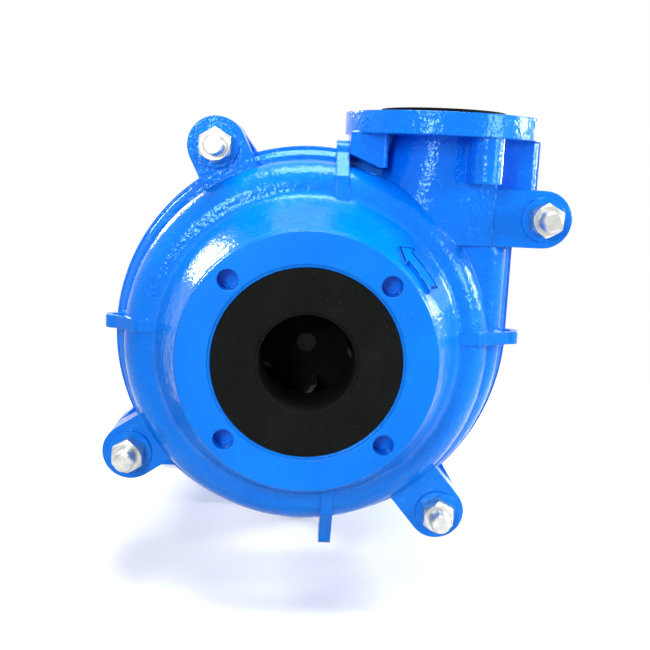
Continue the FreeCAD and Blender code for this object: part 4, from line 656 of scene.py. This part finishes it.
class SLURRYPUMP_OT_stage(bpy.types.Operator):
    """Set up the floor, the lights and the camera."""

    bl_idname = "slurrypump.stage"
    bl_label = "Stage"

    # each lamp's name, place, what it faces, its width and length, and the setting that holds its power
    lamps = (
        ("top_light", (0.0, -0.05, 1.50), (0.0, 0.15, 0.0), (0.9, 0.7), "top_light"),
        ("key_light", (-0.50, -1.40, 0.55), (0, 0.1, 0), (0.30, 0.60), "key_light"),
        ("fill_light", (1.20, -0.70, 0.35), (0, 0.1, 0), (0.35, 0.45), "fill_light"),
        ("right_light", (1.30, 0.20, 0.45), (0, 0.1, 0), (0.30, 0.45), "side_light"),
        ("right_back_light", (1.00, 1.05, 0.35), (0, 0.3, 0), (0.35, 0.40), "side_light"),
        ("left_back_light", (-0.95, 1.05, 0.62), (0, 0.3, 0), (0.35, 0.40), "side_light"))
    room_tint = (0.93, 0.96, 1.0)

    floor_reach = 30
    below_feet = 0.2 * MM
    floor_grey = (0.86, 0.86, 0.86)
    floor_shade = (0.80, 0.80, 0.80)
    # what the floor throws back onto the pump
    bounce_grey = (0.35, 0.35, 0.35)
    # how far behind the intake face the floor's dark patch has its middle, and where it fades to white
    fade_middle = 0.35
    fade_start = 0.35
    fade_end = 1.1

    sensor_width = 36
    eye = (-10.3 * MM, -817.8 * MM, 178.4 * MM)
    # degrees: downward, to the right, and over to one side
    tilt = 9.81
    yaw = 1.77
    roll = 2.71

    def execute(self, context):
        scene = context.scene
        studio = scene.slurry_pump_studio
        self.add_floor(CAD_BOX[0][2])
        for name, place, target, size, power in self.lamps:
            self.add_lamp(name, place, target, size, getattr(studio, power))
        self.add_room(studio.room_light)
        self.add_camera(studio.lens)
        scene.view_settings.view_transform = "Standard"
        return {"FINISHED"}

    def add_floor(self, height):
        """A pale floor under the feet, which darkens the light that it throws back."""
        mesh = bmesh.new()
        bmesh.ops.create_grid(mesh, x_segments=1, y_segments=1, size=self.floor_reach)
        bmesh.ops.translate(mesh, verts=mesh.verts, vec=(0, 0, height - self.below_feet))
        data = bpy.data.meshes.new("floor")
        mesh.to_mesh(data)
        mesh.free()
        floor = bpy.data.objects.new("floor", data)
        bpy.context.scene.collection.objects.link(floor)
        data.materials.append(self.floor_finish())

    def floor_finish(self):
        """Matt where it is near, white where it is far, and grey to the rays that only carry light."""
        finish = Finish("pale_floor")
        tone = finish.noise(scale=3, detail=2, roughness=0.5)
        colour = finish.mix(tone * 0.3, self.floor_grey, self.floor_shade)
        matt = finish.node("ShaderNodeBsdfDiffuse", {}, {"Color": colour}, "BSDF")
        grey = finish.node("ShaderNodeBsdfDiffuse", {}, {"Color": self.bounce_grey}, "BSDF")
        white = finish.node("ShaderNodeEmission", {}, {"Color": (1, 1, 1), "Strength": 1.0}, "Emission")
        behind = finish.y - self.fade_middle
        away = (finish.x * finish.x + behind * behind).root().fade(self.fade_start, self.fade_end)
        pale = finish.node("ShaderNodeMixShader", {}, {0: away, 1: matt, 2: white})
        return finish.show(finish.node("ShaderNodeMixShader", {}, {0: finish.seen_rays(), 1: grey, 2: pale}))

    @staticmethod
    def add_lamp(name, place, target, size, power):
        """A rectangular lamp that faces a target."""
        data = bpy.data.lights.new(name, "AREA")
        data.shape = "RECTANGLE"
        data.size, data.size_y = size
        data.energy = power
        lamp = bpy.data.objects.new(name, data)
        lamp.location = place
        direction = Vector(target) - Vector(place)
        lamp.rotation_euler = direction.to_track_quat("-Z", "Y").to_euler()
        bpy.context.scene.collection.objects.link(lamp)

    def add_room(self, strength):
        """Light from all round, which looks white."""
        world = bpy.data.worlds.new("studio")
        bpy.context.scene.world = world
        walls = Nodes(world)
        lit = walls.node("ShaderNodeBackground", {}, {"Color": self.room_tint, "Strength": strength})
        white = walls.node("ShaderNodeBackground", {}, {"Color": (1, 1, 1)})
        mixed = walls.node("ShaderNodeMixShader", {}, {0: walls.seen_rays(), 1: lit, 2: white})
        walls.put_out("ShaderNodeOutputWorld", mixed)

    def add_camera(self, lens):
        """The camera in front of the intake, a little above it and turned."""
        data = bpy.data.cameras.new("camera")
        data.lens = lens
        data.sensor_width = self.sensor_width
        camera = bpy.data.objects.new("camera", data)
        tilt, yaw, roll = (math.radians(angle) for angle in (self.tilt, self.yaw, self.roll))
        forward = Vector((math.sin(yaw) * math.cos(tilt), math.cos(yaw) * math.cos(tilt), -math.sin(tilt)))
        level = Vector((math.cos(yaw), -math.sin(yaw), 0))
        upright = level.cross(forward)
        right = math.cos(roll) * level + math.sin(roll) * upright
        up = -math.sin(roll) * level + math.cos(roll) * upright
        turned = Matrix((right, up, -forward)).transposed()
        camera.matrix_world = Matrix.Translation(self.eye) @ turned.to_4x4()
        bpy.context.scene.collection.objects.link(camera)
        bpy.context.scene.camera = camera


class SLURRYPUMP_PT_panel(bpy.types.Panel):
    """Lists the steps in the sidebar."""

    bl_idname = "SLURRYPUMP_PT_panel"
    bl_label = "Slurry Pump"
    bl_space_type = "VIEW_3D"
    bl_region_type = "UI"
    bl_category = "Slurry Pump"

    def draw(self, context):
        for operator in OPERATORS:
            self.layout.operator(operator.bl_idname)


OPERATORS = (
    SLURRYPUMP_OT_castings,
    SLURRYPUMP_OT_liners,
    SLURRYPUMP_OT_metalwork,
    SLURRYPUMP_OT_arrow,
    SLURRYPUMP_OT_threads,
    SLURRYPUMP_OT_stage,
)


def register():
    for name, group in GROUPS.items():
        bpy.utils.register_class(group)
        setattr(bpy.types.Scene, name, bpy.props.PointerProperty(type=group))
    for kind in OPERATORS + (SLURRYPUMP_PT_panel,):
        bpy.utils.register_class(kind)


def unregister():
    for kind in reversed(OPERATORS + (SLURRYPUMP_PT_panel,)):
        bpy.utils.unregister_class(kind)
    for name, group in GROUPS.items():
        delattr(bpy.types.Scene, name)
        bpy.utils.unregister_class(group)


def main():
    register()
    for operator in OPERATORS:
        group, name = operator.bl_idname.split(".")
        getattr(getattr(bpy.ops, group), name)()


if __name__ == "__main__":
    main()
